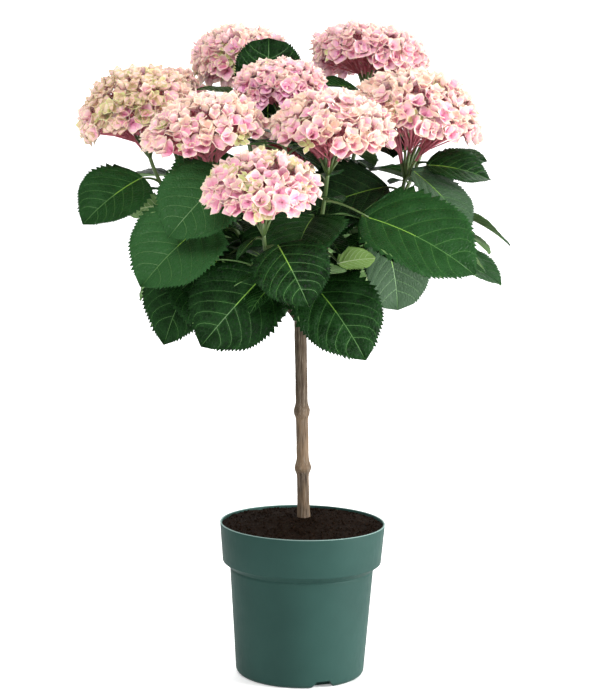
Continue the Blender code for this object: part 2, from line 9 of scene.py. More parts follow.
import itertools
import logging
import math
import random
from collections.abc import Callable, Iterable, Iterator, Sequence
from dataclasses import dataclass, field, replace
from enum import Enum

import bmesh
import bpy
from mathutils import Matrix, Vector, noise
from mathutils.bvhtree import BVHTree


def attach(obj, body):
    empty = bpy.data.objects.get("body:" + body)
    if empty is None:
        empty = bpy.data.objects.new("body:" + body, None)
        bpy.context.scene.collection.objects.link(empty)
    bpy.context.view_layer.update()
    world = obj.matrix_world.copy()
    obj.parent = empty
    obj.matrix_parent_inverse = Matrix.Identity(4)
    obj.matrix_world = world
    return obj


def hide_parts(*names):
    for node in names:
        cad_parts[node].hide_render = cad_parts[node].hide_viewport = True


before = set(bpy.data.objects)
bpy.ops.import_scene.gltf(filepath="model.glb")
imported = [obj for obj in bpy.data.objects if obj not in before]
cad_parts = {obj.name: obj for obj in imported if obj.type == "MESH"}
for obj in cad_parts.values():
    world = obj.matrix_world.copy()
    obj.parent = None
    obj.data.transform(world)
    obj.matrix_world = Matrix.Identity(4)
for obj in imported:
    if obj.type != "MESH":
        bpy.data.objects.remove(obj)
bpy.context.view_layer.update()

log = logging.getLogger("hydrangea")

BMesh = bmesh.types.BMesh
Material = bpy.types.Material
Mesh = bpy.types.Mesh
Object = bpy.types.Object
Socket = bpy.types.NodeSocket
Colour = tuple[float, float, float]
Reach = tuple[float, float, float]
Pair = tuple[float, float]
Materials = Sequence[Material]

BODY = "root"
UP = Vector((0.0, 0.0, 1.0))
GAP = 0.0003
WELD = 1e-6
GOLDEN_TURN = math.pi * (3 - math.sqrt(5))


# ---- shared helpers

def bearing(heading: float, rise: float) -> Vector:
    """Unit vector at a heading from +X towards +Y and a rise above level, in degrees."""
    turn, lift = math.radians(heading), math.radians(rise)
    return Vector((math.cos(turn) * math.cos(lift), math.sin(turn) * math.cos(lift),
                   math.sin(lift)))


def smooth_step(low: float, high: float, value: float) -> float:
    """0 below low, 1 above high, and an even curve between them."""
    share = min(1.0, max(0.0, (value - low) / (high - low)))
    return share * share * (3 - 2 * share)


def carry_frame(points: Sequence[Vector], first_axis: Vector | None = None,
                ) -> list[tuple[Vector, Vector]]:
    """Side and across vectors at each point of a line, carried along it without twist.

    Args:
        points: The line, two points or more.
        first_axis: Direction that the first ring faces, where it isn't the line's own.

    Returns:
        One pair of unit vectors a point, square to the line there.
    """
    axes = [points[1] - points[0]]
    axes += [after - before for before, after in zip(points, points[2:])]
    axes += [points[-1] - points[-2]]
    axes[0] = first_axis or axes[0]
    side = axes[0].orthogonal().normalized()
    pairs = []
    for axis in axes:
        axis = axis.normalized()
        side = (side - axis * side.dot(axis)).normalized()
        pairs.append((side, axis.cross(side)))
    return pairs


def bark_noise(turn: float, along: float, waves: Pair) -> float:
    """Uneven height of bark, from -1 to 1.

    Args:
        turn: Turn round the limb, in radians.
        along: Distance along it.
        waves: How fast the height changes round the limb and along it.

    Returns:
        The height.
    """
    across, lengthwise = waves
    return noise.noise(Vector((across * math.cos(turn), across * math.sin(turn),
                               lengthwise * along)))


def wrapped_limb(points: Sequence[Vector], radii: Sequence[float], sides: int,
                 relief: Callable[[Vector, float], float] | None = None,
                 first_axis: Vector | None = None) -> BMesh:
    """Closed round limb, wrapped from a grid.

    Args:
        points: Middle of each ring.
        radii: Radius of each ring.
        sides: Faces round the limb.
        relief: Extra radius at a ring's middle and a turn round it, in radians.
        first_axis: Direction that the first ring faces.

    Returns:
        The limb, with both ends closed.
    """
    bm = bmesh.new()
    frames = carry_frame(points, first_axis)
    steps = len(points) - 1
    grid = bmesh.ops.create_grid(bm, x_segments=steps, y_segments=sides, size=0.5)
    for vert in grid["verts"]:
        ring = round((vert.co.x + 0.5) * steps)
        turn = math.tau * round((vert.co.y + 0.5) * sides) / sides
        side, across = frames[ring]
        radius = radii[ring] + (relief(points[ring], turn) if relief else 0.0)
        vert.co = points[ring] + radius * (side * math.cos(turn) + across * math.sin(turn))
    bmesh.ops.remove_doubles(bm, verts=bm.verts, dist=WELD)
    bmesh.ops.holes_fill(bm, edges=[edge for edge in bm.edges if edge.is_boundary], sides=0)
    bmesh.ops.recalc_face_normals(bm, faces=bm.faces)
    return bm


def turned(profile: Iterable[Pair], sides: int) -> BMesh:
    """Closed solid turned about Z from a profile that starts and ends on the axis.

    Args:
        profile: Radius and height of each corner.
        sides: Faces round it.

    Returns:
        The solid.
    """
    bm = bmesh.new()
    verts = [bm.verts.new((radius, 0.0, height)) for radius, height in profile]
    edges = [bm.edges.new(pair) for pair in zip(verts, verts[1:])]
    bmesh.ops.spin(bm, geom=verts + edges, cent=(0, 0, 0), axis=(0, 0, 1), dvec=(0, 0, 0),
                   angle=math.tau, steps=sides, use_merge=True)
    bmesh.ops.remove_doubles(bm, verts=bm.verts, dist=WELD)
    bmesh.ops.recalc_face_normals(bm, faces=bm.faces)
    return bm


def straight_stalk(bm: BMesh, start: Vector, end: Vector, first: float,
                   last: float, sides: int, slot: int) -> None:
    """Add a straight tapering stalk to a bmesh.

    Args:
        bm: Bmesh that the stalk joins.
        start: Middle of its foot.
        end: Middle of its tip.
        first: Radius of its foot.
        last: Radius of its tip.
        sides: Faces round it.
        slot: Material slot of its faces.
    """
    line = end - start
    place = line.to_track_quat("Z", "Y").to_matrix().to_4x4()
    place.translation = (start + end) / 2
    cone = bmesh.ops.create_cone(bm, cap_ends=True, segments=sides, radius1=first, radius2=last,
                                 depth=line.length, matrix=place)
    for face in {face for vert in cone["verts"] for face in vert.link_faces}:
        face.material_index = slot


def mesh_of(name: str, bm: BMesh) -> Mesh:
    """Mesh of a bmesh, which is freed.

    Args:
        name: Name of the mesh.
        bm: Its shape.

    Returns:
        The mesh.
    """
    mesh = bpy.data.meshes.new(name)
    bm.to_mesh(mesh)
    bm.free()
    return mesh


def put(name: str, data: bpy.types.ID) -> Object:
    """Put an object with a mesh, a light or a camera into the scene.

    Args:
        name: Name of the object.
        data: What it holds.

    Returns:
        The object, at the origin.
    """
    thing = bpy.data.objects.new(name, data)
    bpy.context.scene.collection.objects.link(thing)
    return thing


def append(bm: BMesh, other: BMesh, slot: int | None = None) -> None:
    """Move another bmesh's geometry into this one.

    Args:
        bm: The bmesh that grows.
        other: The bmesh that joins it, which is freed.
        slot: Material slot of the faces that join, where they don't keep their own.
    """
    if slot is not None:
        for face in other.faces:
            face.material_index = slot
    mesh = mesh_of("part", other)
    bm.from_mesh(mesh)
    bpy.data.meshes.remove(mesh)


def dress(name: str, bm: BMesh, finishes: Materials, nodes: Sequence[str], slot: str) -> Object:
    """Turn a bmesh into a finished piece that stands for CAD nodes.

    Args:
        name: Name of the piece.
        bm: Its shape, which is freed.
        finishes: Its materials, in the order of its faces' slots.
        nodes: The nodes that it replaces.
        slot: The record's material slot that it belongs to. Not used.

    Returns:
        The piece, at the origin.
    """
    mesh = mesh_of(name, bm)
    mesh.shade_smooth()
    for finish in finishes:
        mesh.materials.append(finish)
    piece = put(name, mesh)
    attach(piece, BODY)
    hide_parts(*nodes)
    log.info("%s: %d faces", name, len(mesh.polygons))
    return piece


# ---- finishes

class Wiring:
    """A Principled material under construction, with short ways to add and join its nodes."""

    def __init__(self, name: str) -> None:
        """Start a material.

        Args:
            name: Its name.
        """
        self.material = bpy.data.materials.new(name)
        self.material.use_nodes = True
        self.tree = self.material.node_tree
        self.shader = self.tree.nodes["Principled BSDF"]

    def add(self, kind: str, **settings: object) -> bpy.types.Node:
        """Add a node.

        Args:
            kind: Its type.
            **settings: Properties of its own.

        Returns:
            The node.
        """
        node = self.tree.nodes.new(kind)
        for key, value in settings.items():
            setattr(node, key, value)
        return node

    def join(self, source: Socket, target: Socket) -> None:
        """Link two sockets."""
        self.tree.links.new(source, target)

    def place(self, output: str = "Object", scale: Reach = (1.0, 1.0, 1.0)) -> Socket:
        """Texture coordinates.

        Args:
            output: The kind of coordinates.
            scale: Stretch along each axis.

        Returns:
            The coordinates.
        """
        source = self.add("ShaderNodeTexCoord")
        mapping = self.add("ShaderNodeMapping")
        mapping.inputs["Scale"].default_value = scale
        self.join(source.outputs[output], mapping.inputs["Vector"])
        return mapping.outputs["Vector"]

    def grain(self, where: Socket, scale: float, detail: float = 3.0,
              roughness: float = 0.55) -> Socket:
        """Noise.

        Args:
            where: Coordinates.
            scale: Grains a unit.
            detail: Finer layers.
            roughness: Weight of the finer layers.

        Returns:
            Its value.
        """
        texture = self.add("ShaderNodeTexNoise")
        texture.inputs["Scale"].default_value = scale
        texture.inputs["Detail"].default_value = detail
        texture.inputs["Roughness"].default_value = roughness
        self.join(where, texture.inputs["Vector"])
        return texture.outputs["Fac"]

    def cells(self, where: Socket, scale: float) -> Socket:
        """Net of the edges between cells.

        Args:
            where: Coordinates.
            scale: Cells a unit.

        Returns:
            Distance to the nearest edge.
        """
        texture = self.add("ShaderNodeTexVoronoi", feature="DISTANCE_TO_EDGE")
        texture.inputs["Scale"].default_value = scale
        self.join(where, texture.inputs["Vector"])
        return texture.outputs["Distance"]

    def along(self, axis: str) -> Socket:
        """Place along one axis of the object.

        Args:
            axis: X, Y or Z.

        Returns:
            The place, in metres.
        """
        split = self.add("ShaderNodeSeparateXYZ")
        self.join(self.place(), split.inputs["Vector"])
        return split.outputs[axis]

    def layer(self, name: str) -> Socket:
        """Value of one of the mesh's own attributes."""
        return self.add("ShaderNodeAttribute", attribute_name=name).outputs["Fac"]

    def span(self, value: Socket, low: float, high: float, first: float = 0.0,
             last: float = 1.0) -> Socket:
        """Carry a range of values over to another.

        Args:
            value: The value.
            low: Start of its range.
            high: End of its range.
            first: What low becomes.
            last: What high becomes.

        Returns:
            The new value.
        """
        node = self.add("ShaderNodeMapRange")
        for socket, number in zip(("From Min", "From Max", "To Min", "To Max"),
                                  (low, high, first, last)):
            node.inputs[socket].default_value = number
        self.join(value, node.inputs["Value"])
        return node.outputs["Result"]

    def blend(self, share: Socket, first: Colour | Socket, second: Colour | Socket) -> Socket:
        """Mix two colours, each a plain colour or a socket.

        Args:
            share: Share of the second.
            first: Colour at 0.
            second: Colour at 1.

        Returns:
            The mix.
        """
        node = self.add("ShaderNodeMix", data_type="RGBA")
        self.join(share, node.inputs["Factor"])
        for socket, colour in zip((node.inputs[6], node.inputs[7]), (first, second)):
            if isinstance(colour, tuple):
                socket.default_value = (*colour, 1.0)
            else:
                self.join(colour, socket)
        return node.outputs[2]

    def relief(self, height: Socket, depth: float, strength: float = 1.0) -> None:
        """Add bump to any that the material already has.

        Args:
            height: Height from 0 to 1.
            depth: What 1 stands for, in metres.
            strength: Share of it that is used.
        """
        bump = self.add("ShaderNodeBump")
        bump.inputs["Strength"].default_value = strength
        bump.inputs["Distance"].default_value = depth
        self.join(height, bump.inputs["Height"])
        normal = self.shader.inputs["Normal"]
        if normal.is_linked:
            self.join(normal.links[0].from_socket, bump.inputs["Normal"])
        self.join(bump.outputs["Normal"], normal)

    def set(self, **values: object) -> None:
        """Set plain values on the shader.

        Args:
            **values: Values by their sockets' names, written in lower case.
        """
        for key, value in values.items():
            name = key.replace("_", " ").title().replace("Ior", "IOR")
            self.shader.inputs[name].default_value = value


@dataclass(frozen=True)
class PotPlastic:
    """Moulded plastic of the pot: satin, with a faint orange peel, fine scuffs and a painted
    highlight along the top of its lip.
    """

    colour: Colour = (0.0165, 0.0455, 0.0385)
    faded: Colour = (0.0190, 0.0520, 0.0440)
    fade: Pair = (0.35, 0.65)
    # Painted highlight: a pale colour painted along the top of the lip, where it catches the
    # light.
    gloss_and_lip_highlight: Colour = (0.180, 0.270, 0.250)
    lip_highlight_height: float = 0.1764
    lip_highlight_span: float = 0.0004
    patch_scale: float = 14.0
    scuff_scale: float = 260.0
    scuff_stretch: Reach = (1.0, 1.0, 0.35)
    peel_scale: float = 700.0
    peel_depth: float = 0.00006
    scuffed: Pair = (0.3, 0.75)
    roughness: Pair = (0.51, 0.65)
    specular: float = 0.09

    def build(self) -> Material:
        """Wire the material.

        Returns:
            The material.
        """
        wiring = Wiring("pot_plastic")
        broad = wiring.grain(wiring.place(), self.patch_scale, 2.0)
        tone = wiring.blend(wiring.span(broad, *self.fade), self.colour, self.faded)
        # Painted highlight: the pale colour takes over along the top of the lip.
        painted_lip_highlight = wiring.span(wiring.along("Z"), self.lip_highlight_height, self.lip_highlight_height + self.lip_highlight_span)
        tone = wiring.blend(painted_lip_highlight, tone, self.gloss_and_lip_highlight)
        wiring.join(tone, wiring.shader.inputs["Base Color"])
        scuffs = wiring.grain(wiring.place(scale=self.scuff_stretch), self.scuff_scale, 4.0)
        rough = wiring.span(scuffs, *self.scuffed, *self.roughness)
        wiring.join(rough, wiring.shader.inputs["Roughness"])
        wiring.set(specular_ior_level=self.specular)
        wiring.relief(wiring.grain(wiring.place(), self.peel_scale, 1.0), self.peel_depth, 0.5)
        return wiring.material


@dataclass(frozen=True)
class Peat:
    """Damp peat: dark, crumbly, with browner fibres."""

    dark: Colour = (0.0035, 0.002, 0.0012)
    brown: Colour = (0.015, 0.0075, 0.004)
    tan: Colour = (0.075, 0.040, 0.020)
    crumb_scale: float = 420.0
    crumb_depth: float = 0.0012
    crumb_shades: Pair = (0.38, 0.66)
    fibre_scale: float = 900.0
    fibre_shades: Pair = (0.66, 0.78)
    fibre_stretch: Reach = (1.0, 2.6, 1.0)

    def build(self) -> Material:
        """Wire the material.

        Returns:
            The material.
        """
        wiring = Wiring("peat")
        crumbs = wiring.grain(wiring.place(), self.crumb_scale, 6.0, 0.7)
        tone = wiring.blend(wiring.span(crumbs, *self.crumb_shades), self.dark, self.brown)
        fibres = wiring.grain(wiring.place(scale=self.fibre_stretch), self.fibre_scale, 2.0)
        tone = wiring.blend(wiring.span(fibres, *self.fibre_shades), tone, self.tan)
        wiring.join(tone, wiring.shader.inputs["Base Color"])
        wiring.set(roughness=0.95, specular_ior_level=0.04)
        wiring.relief(crumbs, self.crumb_depth)
        return wiring.material


@dataclass(frozen=True)
class Bark:
    """Fibrous grey-brown bark, split lengthwise into strips."""

    crack: Colour = (0.024, 0.016, 0.011)
    strip: Colour = (0.080, 0.059, 0.042)
    bleached: Colour = (0.195, 0.159, 0.125)
    inner: Colour = (0.186, 0.124, 0.075)
    strip_scale: float = 620.0
    strip_stretch: Reach = (1.0, 1.0, 0.060)
    strip_depth: float = 0.0011
    patch_scale: float = 75.0
    patch_stretch: Reach = (1.0, 1.0, 0.30)
    cracked: Pair = (0.38, 0.50)
    peeled: Pair = (0.36, 0.58)
    peeled_below: Pair = (0.315, 0.295)
    peeled_share: Pair = (0.10, 0.75)
    bleaching: Pair = (0.53, 0.68)
    darkening: Pair = (0.56, 0.72)
    dark_share: float = 0.50
    fleck_scale: float = 900.0
    fleck_stretch: Reach = (1.0, 1.0, 0.25)
    fleck_depth: float = 0.0004

    def build(self) -> Material:
        """Wire the material.

        Returns:
            The material.
        """
        wiring = Wiring("bark")
        strips = wiring.grain(wiring.place(scale=self.strip_stretch), self.strip_scale, 5.0, 0.70)
        tone = wiring.blend(wiring.span(strips, *self.cracked), self.crack, self.strip)
        patches = wiring.grain(wiring.place(scale=self.patch_stretch), self.patch_scale, 3.0)
        low = wiring.span(wiring.along("Z"), *self.peeled_below, *self.peeled_share)
        peeled = wiring.add("ShaderNodeMath", operation="MULTIPLY")
        wiring.join(low, peeled.inputs[0])
        wiring.join(wiring.span(patches, *self.peeled), peeled.inputs[1])
        tone = wiring.blend(peeled.outputs["Value"], tone, self.inner)
        tone = wiring.blend(wiring.span(strips, *self.bleaching), tone, self.bleached)
        dark = wiring.span(patches, *self.darkening, 0.0, self.dark_share)
        tone = wiring.blend(dark, tone, self.crack)
        wiring.join(tone, wiring.shader.inputs["Base Color"])
        wiring.set(roughness=0.85, specular_ior_level=0.15)
        wiring.relief(strips, self.strip_depth)
        flecks = wiring.grain(wiring.place(scale=self.fleck_stretch), self.fleck_scale, 3.0)
        wiring.relief(flecks, self.fleck_depth)
        return wiring.material


@dataclass(frozen=True)
class LeafSkin:
    """One side of a blade: tissue quilted by a net of fine veins, paler beside the large ones."""

    name: str
    # Shade and light are the two ends of each leaf's tone, which is partly its own tone and partly
    # painted shade and painted light.
    shade: Colour
    light: Colour
    beside_vein: Colour
    # Painted sheen: a grey reflection colour, mixed in by each leaf's share.
    painted_sheen: Colour
    young: Colour
    roughness: float
    net_depth: float
    net_scale: float = 26.0
    net_width: float = 0.10
    net_share: float = 0.30
    net_slope: float = 0.22
    vein_share: float = 0.35
    mottle_scale: float = 5.0
    mottled: Pair = (0.42, 0.72)
    mottle_share: float = 0.24
    gloss_and_lip_highlight: Pair = (0.3, 0.7)
    sheen: Pair = (-0.05, 0.08)
    pore_scale: float = 60.0
    pore_depth: float = 0.00012
    specular: float = 0.06

    def build(self) -> Material:
        """Wire the material.

        Returns:
            The material.
        """
        wiring = Wiring(self.name)
        flat = wiring.place("UV")
        mottle = wiring.grain(flat, self.mottle_scale, 4.0)
        # Partly painted light: each leaf's tone darkens leaves that sit in shade and lightens
        # those that should look lit.
        tone = wiring.blend(wiring.layer("tone"), self.shade, self.light)
        lit = wiring.span(mottle, *self.mottled, 0.0, self.mottle_share)
        tone = wiring.blend(lit, tone, self.light)
        net = wiring.cells(flat, self.net_scale)
        near = wiring.span(net, 0.0, self.net_width, self.net_share, 0.0)
        tone = wiring.blend(near, tone, self.beside_vein)
        near = wiring.span(wiring.layer("vein"), 0.5, 1.0, 0.0, self.vein_share)
        tone = wiring.blend(near, tone, self.beside_vein)
        # Painted sheen: a grey reflection painted into the colour of chosen leaves.
        tone = wiring.blend(wiring.layer("painted_sheen"), tone, self.painted_sheen)
        tone = wiring.blend(wiring.layer("young"), tone, self.young)
        wiring.join(tone, wiring.shader.inputs["Base Color"])
        rough = wiring.span(mottle, *self.gloss_and_lip_highlight, *(self.roughness + part for part in self.sheen))
        wiring.join(rough, wiring.shader.inputs["Roughness"])
        wiring.set(specular_ior_level=self.specular)
        wiring.relief(wiring.span(net, 0.0, self.net_slope), self.net_depth)
        wiring.relief(wiring.grain(flat, self.pore_scale, 2.0), self.pore_depth)
        return wiring.material


@dataclass(frozen=True)
class PlainSkin:
    """A skin of one colour: a vein, a stalk, a bead or one tint of a petal."""

    name: str
    colour: Colour
    roughness: float = 0.5
    glow: float = 0.0
    depth: float = 0.00010
    grain: float = 900.0

    def build(self) -> Material:
        """Wire the material.

        Returns:
            The material.
        """
        wiring = Wiring(self.name)
        wiring.set(base_color=(*self.colour, 1.0), roughness=self.roughness)
        if self.glow:
            wiring.set(subsurface_weight=self.glow, subsurface_scale=0.004,
                       subsurface_radius=(1.0, 0.5, 0.6))
        wiring.relief(wiring.grain(wiring.place(), self.grain, 2.0), self.depth)
        return wiring.material


LEAF_SKINS = (
    LeafSkin("leaf_upper", shade=(0.0017, 0.0096, 0.0016), light=(0.0310, 0.1160, 0.0290),
             beside_vein=(0.018, 0.072, 0.013), painted_sheen=(0.045, 0.080, 0.045),
             young=(0.150, 0.300, 0.045), roughness=0.36, net_depth=0.00042),
    PlainSkin("midrib", (0.200, 0.400, 0.050), 0.45),
    PlainSkin("side_vein", (0.076, 0.186, 0.043), 0.45),
    LeafSkin("leaf_underside", shade=(0.090, 0.175, 0.055), light=(0.150, 0.260, 0.095),
             beside_vein=(0.200, 0.310, 0.120), painted_sheen=(0.095, 0.145, 0.085),
             young=(0.200, 0.330, 0.090), roughness=0.60, net_depth=0.00030),
    PlainSkin("midrib_underside", (0.400, 0.500, 0.260), 0.55),
    PlainSkin("side_vein_underside", (0.380, 0.460, 0.240), 0.55),
)

STALK_SKINS = (
    PlainSkin("green_stalk", (0.070, 0.118, 0.030), 0.45, glow=0.1),
    PlainSkin("crimson_stalk", (0.580, 0.160, 0.200), 0.50, glow=0.1),
)


class Tint(Enum):
    """Colours of the petals, each with a duskier one for their backs."""

    MAGENTA = ((0.640, 0.120, 0.310), (0.700, 0.290, 0.390))
    ROSE = ((0.780, 0.250, 0.420), (0.790, 0.400, 0.460))
    PINK = ((0.850, 0.375, 0.520), (0.820, 0.470, 0.520))
    BLUSH = ((0.870, 0.490, 0.580), (0.850, 0.540, 0.570))
    SHELL = ((0.870, 0.570, 0.520), (0.860, 0.580, 0.520))
    CREAM = ((0.860, 0.660, 0.500), (0.850, 0.640, 0.480))
    PEACH = ((0.860, 0.560, 0.420), (0.850, 0.570, 0.430))
    LIME = ((0.590, 0.590, 0.240), (0.600, 0.590, 0.280))
    BEIGE = ((0.600, 0.460, 0.250), (0.600, 0.460, 0.270))
    LILAC = ((0.820, 0.430, 0.620), (0.820, 0.490, 0.610))
    MAUVE = ((0.640, 0.190, 0.400), (0.690, 0.330, 0.450))

    def finish(self, back: bool) -> Material:
        """The material of this tint's face or back."""
        name = "petal_" + self.name.lower() + ("_back" if back else "")
        return PlainSkin(name, self.value[int(back)], 0.6, 0.25, 0.00012, 600.0).build()


class Flush(Enum):
    """Ways in which a floret is coloured: its throat, its middle, its outer part and its rim."""

    ROSY = (Tint.MAGENTA, Tint.ROSE, Tint.PINK, Tint.SHELL)
    CANDY = (Tint.ROSE, Tint.PINK, Tint.BLUSH, Tint.CREAM)
    BLUSHED = (Tint.ROSE, Tint.PINK, Tint.BLUSH, Tint.SHELL)
    SOFT = (Tint.PINK, Tint.BLUSH, Tint.SHELL, Tint.CREAM)
    PEACHY = (Tint.PINK, Tint.SHELL, Tint.PEACH, Tint.CREAM)
    LIMED = (Tint.LIME, Tint.CREAM, Tint.BEIGE, Tint.LIME)
    AGED = (Tint.BLUSH, Tint.BEIGE, Tint.SHELL, Tint.BEIGE)
    LILAC = (Tint.MAUVE, Tint.LILAC, Tint.BLUSH, Tint.SHELL)
    BUD = (Tint.LIME, Tint.LIME, Tint.LIME, Tint.CREAM)
    DUSKY = (Tint.MAGENTA, Tint.MAUVE, Tint.LILAC, Tint.BLUSH)


class Mood(Enum):
    """How many florets in ten have each flush, on a head's crown and at its lower edge."""

    CREAMY = ({Flush.AGED: 6, Flush.PEACHY: 2, Flush.LIMED: 1, Flush.SOFT: 1},
              {Flush.CANDY: 3, Flush.AGED: 4, Flush.SOFT: 2, Flush.LIMED: 1})
    PINK = ({Flush.PEACHY: 4, Flush.SOFT: 3, Flush.CANDY: 3}, {Flush.CANDY: 6, Flush.SOFT: 4})
    PALE = ({Flush.SOFT: 3, Flush.AGED: 1, Flush.CANDY: 3, Flush.BLUSHED: 2, Flush.LIMED: 1},
            {Flush.CANDY: 6, Flush.SOFT: 1, Flush.BLUSHED: 3})
    FRESH = ({Flush.LILAC: 3, Flush.CANDY: 3, Flush.SOFT: 4},
             {Flush.CANDY: 4, Flush.LILAC: 2, Flush.LIMED: 1, Flush.SOFT: 3})
    PEACHY = ({Flush.PEACHY: 3, Flush.SOFT: 4, Flush.CANDY: 3},
              {Flush.CANDY: 6, Flush.SOFT: 3, Flush.ROSY: 1})
    ROSY = ({Flush.BLUSHED: 1, Flush.LILAC: 3, Flush.CANDY: 3, Flush.SOFT: 3},
            {Flush.BLUSHED: 3, Flush.LILAC: 2, Flush.CANDY: 5})
    LILAC = ({Flush.LILAC: 3, Flush.SOFT: 3, Flush.CANDY: 4},
             {Flush.DUSKY: 3, Flush.LILAC: 3, Flush.CANDY: 4})


# ---- trial solids, which settle the leaves just as the plant's own solids are settled

def skinned(rings: Sequence[Sequence[Vector]]) -> BMesh:
    """Closed trial solid over rings of points.

    Args:
        rings: Points of each ring.

    Returns:
        The solid.
    """
    bm = bmesh.new()
    loops = [[bm.verts.new(point) for point in ring] for ring in rings]
    for low, high in zip(loops, loops[1:]):
        for i, j in zip(range(len(low)), (*range(1, len(low)), 0)):
            bm.faces.new((low[i], low[j], high[j], high[i]))
    bm.faces.new(tuple(reversed(loops[0])))
    bm.faces.new(tuple(loops[-1]))
    return bm


def trial_tube(points: Sequence[Vector], radii: Sequence[float], sides: int,
               first_axis: Vector | None = None) -> BMesh:
    """Plain round trial solid along points.

    Args:
        points: Middle of each ring.
        radii: Radius of each ring.
        sides: Faces round it.
        first_axis: Direction that the first ring faces.

    Returns:
        The solid.
    """
    rings = []
    for point, radius, (side, across) in zip(points, radii, carry_frame(points, first_axis)):
        rings.append([point + radius * (side * math.cos(turn) + across * math.sin(turn))
                      for turn in (math.tau * i / sides for i in range(sides))])
    return skinned(rings)


def tree_of(bm: BMesh) -> BVHTree:
    """Search tree of a bmesh.

    Args:
        bm: The bmesh, which is freed.

    Returns:
        The tree.
    """
    tree = BVHTree.FromBMesh(bm)
    bm.free()
    return tree


@dataclass(frozen=True)
class Space:
    """A space that is full.

    Its owner's own leaf stalks never have to stay clear of it, and its owner's blades only if it
    is strict.
    """

    tree: BVHTree
    owner: str | None = None
    strict: bool = True


# ---- trunk

@dataclass(frozen=True)
class Trunk:
    """The one woody stem: its line, its girth and the relief of its bark."""

    foot: Reach = (0.0013, 0.011, 0.1808)
    top: Reach = (-0.0091, 0.010, 0.470)
    foot_radius: float = 0.0071
    top_radius: float = 0.0052
    flare: float = 0.0030
    flare_height: float = 0.008
    joints: tuple[float, ...] = (0.239, 0.305)
    swell: float = 0.0026
    swell_span: float = 0.006
    trial_sides: int = 10
    trial_rings: int = 24
    sides: int = 56
    rings: int = 250
    strip_waves: Pair = (3.4, 22)
    strip_depth: float = 0.00050
    fleck_waves: Pair = (9.0, 130)
    fleck_depth: float = 0.00022
    scar_depth: float = 0.0010
    scar_bias: float = 0.45
    scar_span: float = 0.0048
    scar_turn: float = 0.35
    ring_share: float = 0.4
    ring_drop: float = 0.0042
    ring_span: float = 0.0012
    bark_depth: float = 0.0013
    bark_rise: float = 0.24
    flare_trim: float = 0.0024
    toes: Pair = (3, 0.8)
    toe_depth: float = 0.0009
    toe_height: float = 0.006

    def axis(self, height: float) -> Vector:
        """Middle of the trunk at a height."""
        foot, top = Vector(self.foot), Vector(self.top)
        return foot.lerp(top, (height - foot.z) / (top.z - foot.z))

    def radius(self, height: float) -> float:
        """Radius with the root flare and the swollen joints.

        Args:
            height: Height above the ground.

        Returns:
            The radius.
        """
        rise = height - self.foot[2]
        share = rise / (self.top[2] - self.foot[2])
        radius = self.foot_radius + (self.top_radius - self.foot_radius) * share
        radius += self.flare * math.exp(-rise / self.flare_height)
        for joint in self.joints:
            radius += self.swell * math.exp(-((height - joint) / self.swell_span) ** 2)
        return radius

    def heights(self, count: int) -> list[float]:
        """Even steps, and the joints' own heights.

        Args:
            count: Number of steps.

        Returns:
            The heights, from the foot up.
        """
        span = self.top[2] - self.foot[2]
        heights = {self.foot[2] + span * i / count for i in range(count + 1)}
        return sorted(heights | set(self.joints))

    def trial(self) -> BVHTree:
        """Search tree of the plain trunk."""
        rings = [[self.axis(height) + self.radius(height) * bearing(360 * i / self.trial_sides, 0)
                  for i in range(self.trial_sides)] for height in self.heights(self.trial_rings)]
        return tree_of(skinned(rings))

    def relief(self, middle: Vector, turn: float) -> float:
        """Relief of the bark.

        Args:
            middle: Middle of a ring.
            turn: Turn round it, in radians.

        Returns:
            Extra radius there.
        """
        total = self.strip_depth * bark_noise(turn, middle.z, self.strip_waves)
        total += self.fleck_depth * bark_noise(turn, middle.z, self.fleck_waves)
        for index, joint in enumerate(self.joints):
            away = middle.z - joint
            beside = math.cos(turn - self.scar_turn * index) ** 2
            scar = math.exp(-(away / self.scar_span) ** 2)
            ring = math.exp(-((away + self.ring_drop) / self.ring_span) ** 2)
            bulge = (beside - self.scar_bias) * scar
            total += self.scar_depth * (bulge + self.ring_share * ring)
        rise = middle.z - self.foot[2]
        total += self.bark_depth * smooth_step(0.0, self.bark_rise, rise)
        total -= self.flare_trim * math.exp(-rise / self.flare_height)
        count, first = self.toes
        toe = 0.5 * math.cos(count * turn + first)
        return total + self.toe_depth * toe * math.exp(-rise / self.toe_height)

    def build(self, bark: Material) -> Object:
        """Model the trunk.

        Args:
            bark: Its material.

        Returns:
            The piece.
        """
        heights = self.heights(self.rings)
        points = [self.axis(height) for height in heights]
        radii = [self.radius(height) for height in heights]
        bm = wrapped_limb(points, radii, self.sides, self.relief)
        return dress("trunk_bark", bm, [bark], ["trunk"], "bark")


TRUNK = Trunk()


# ---- leaves

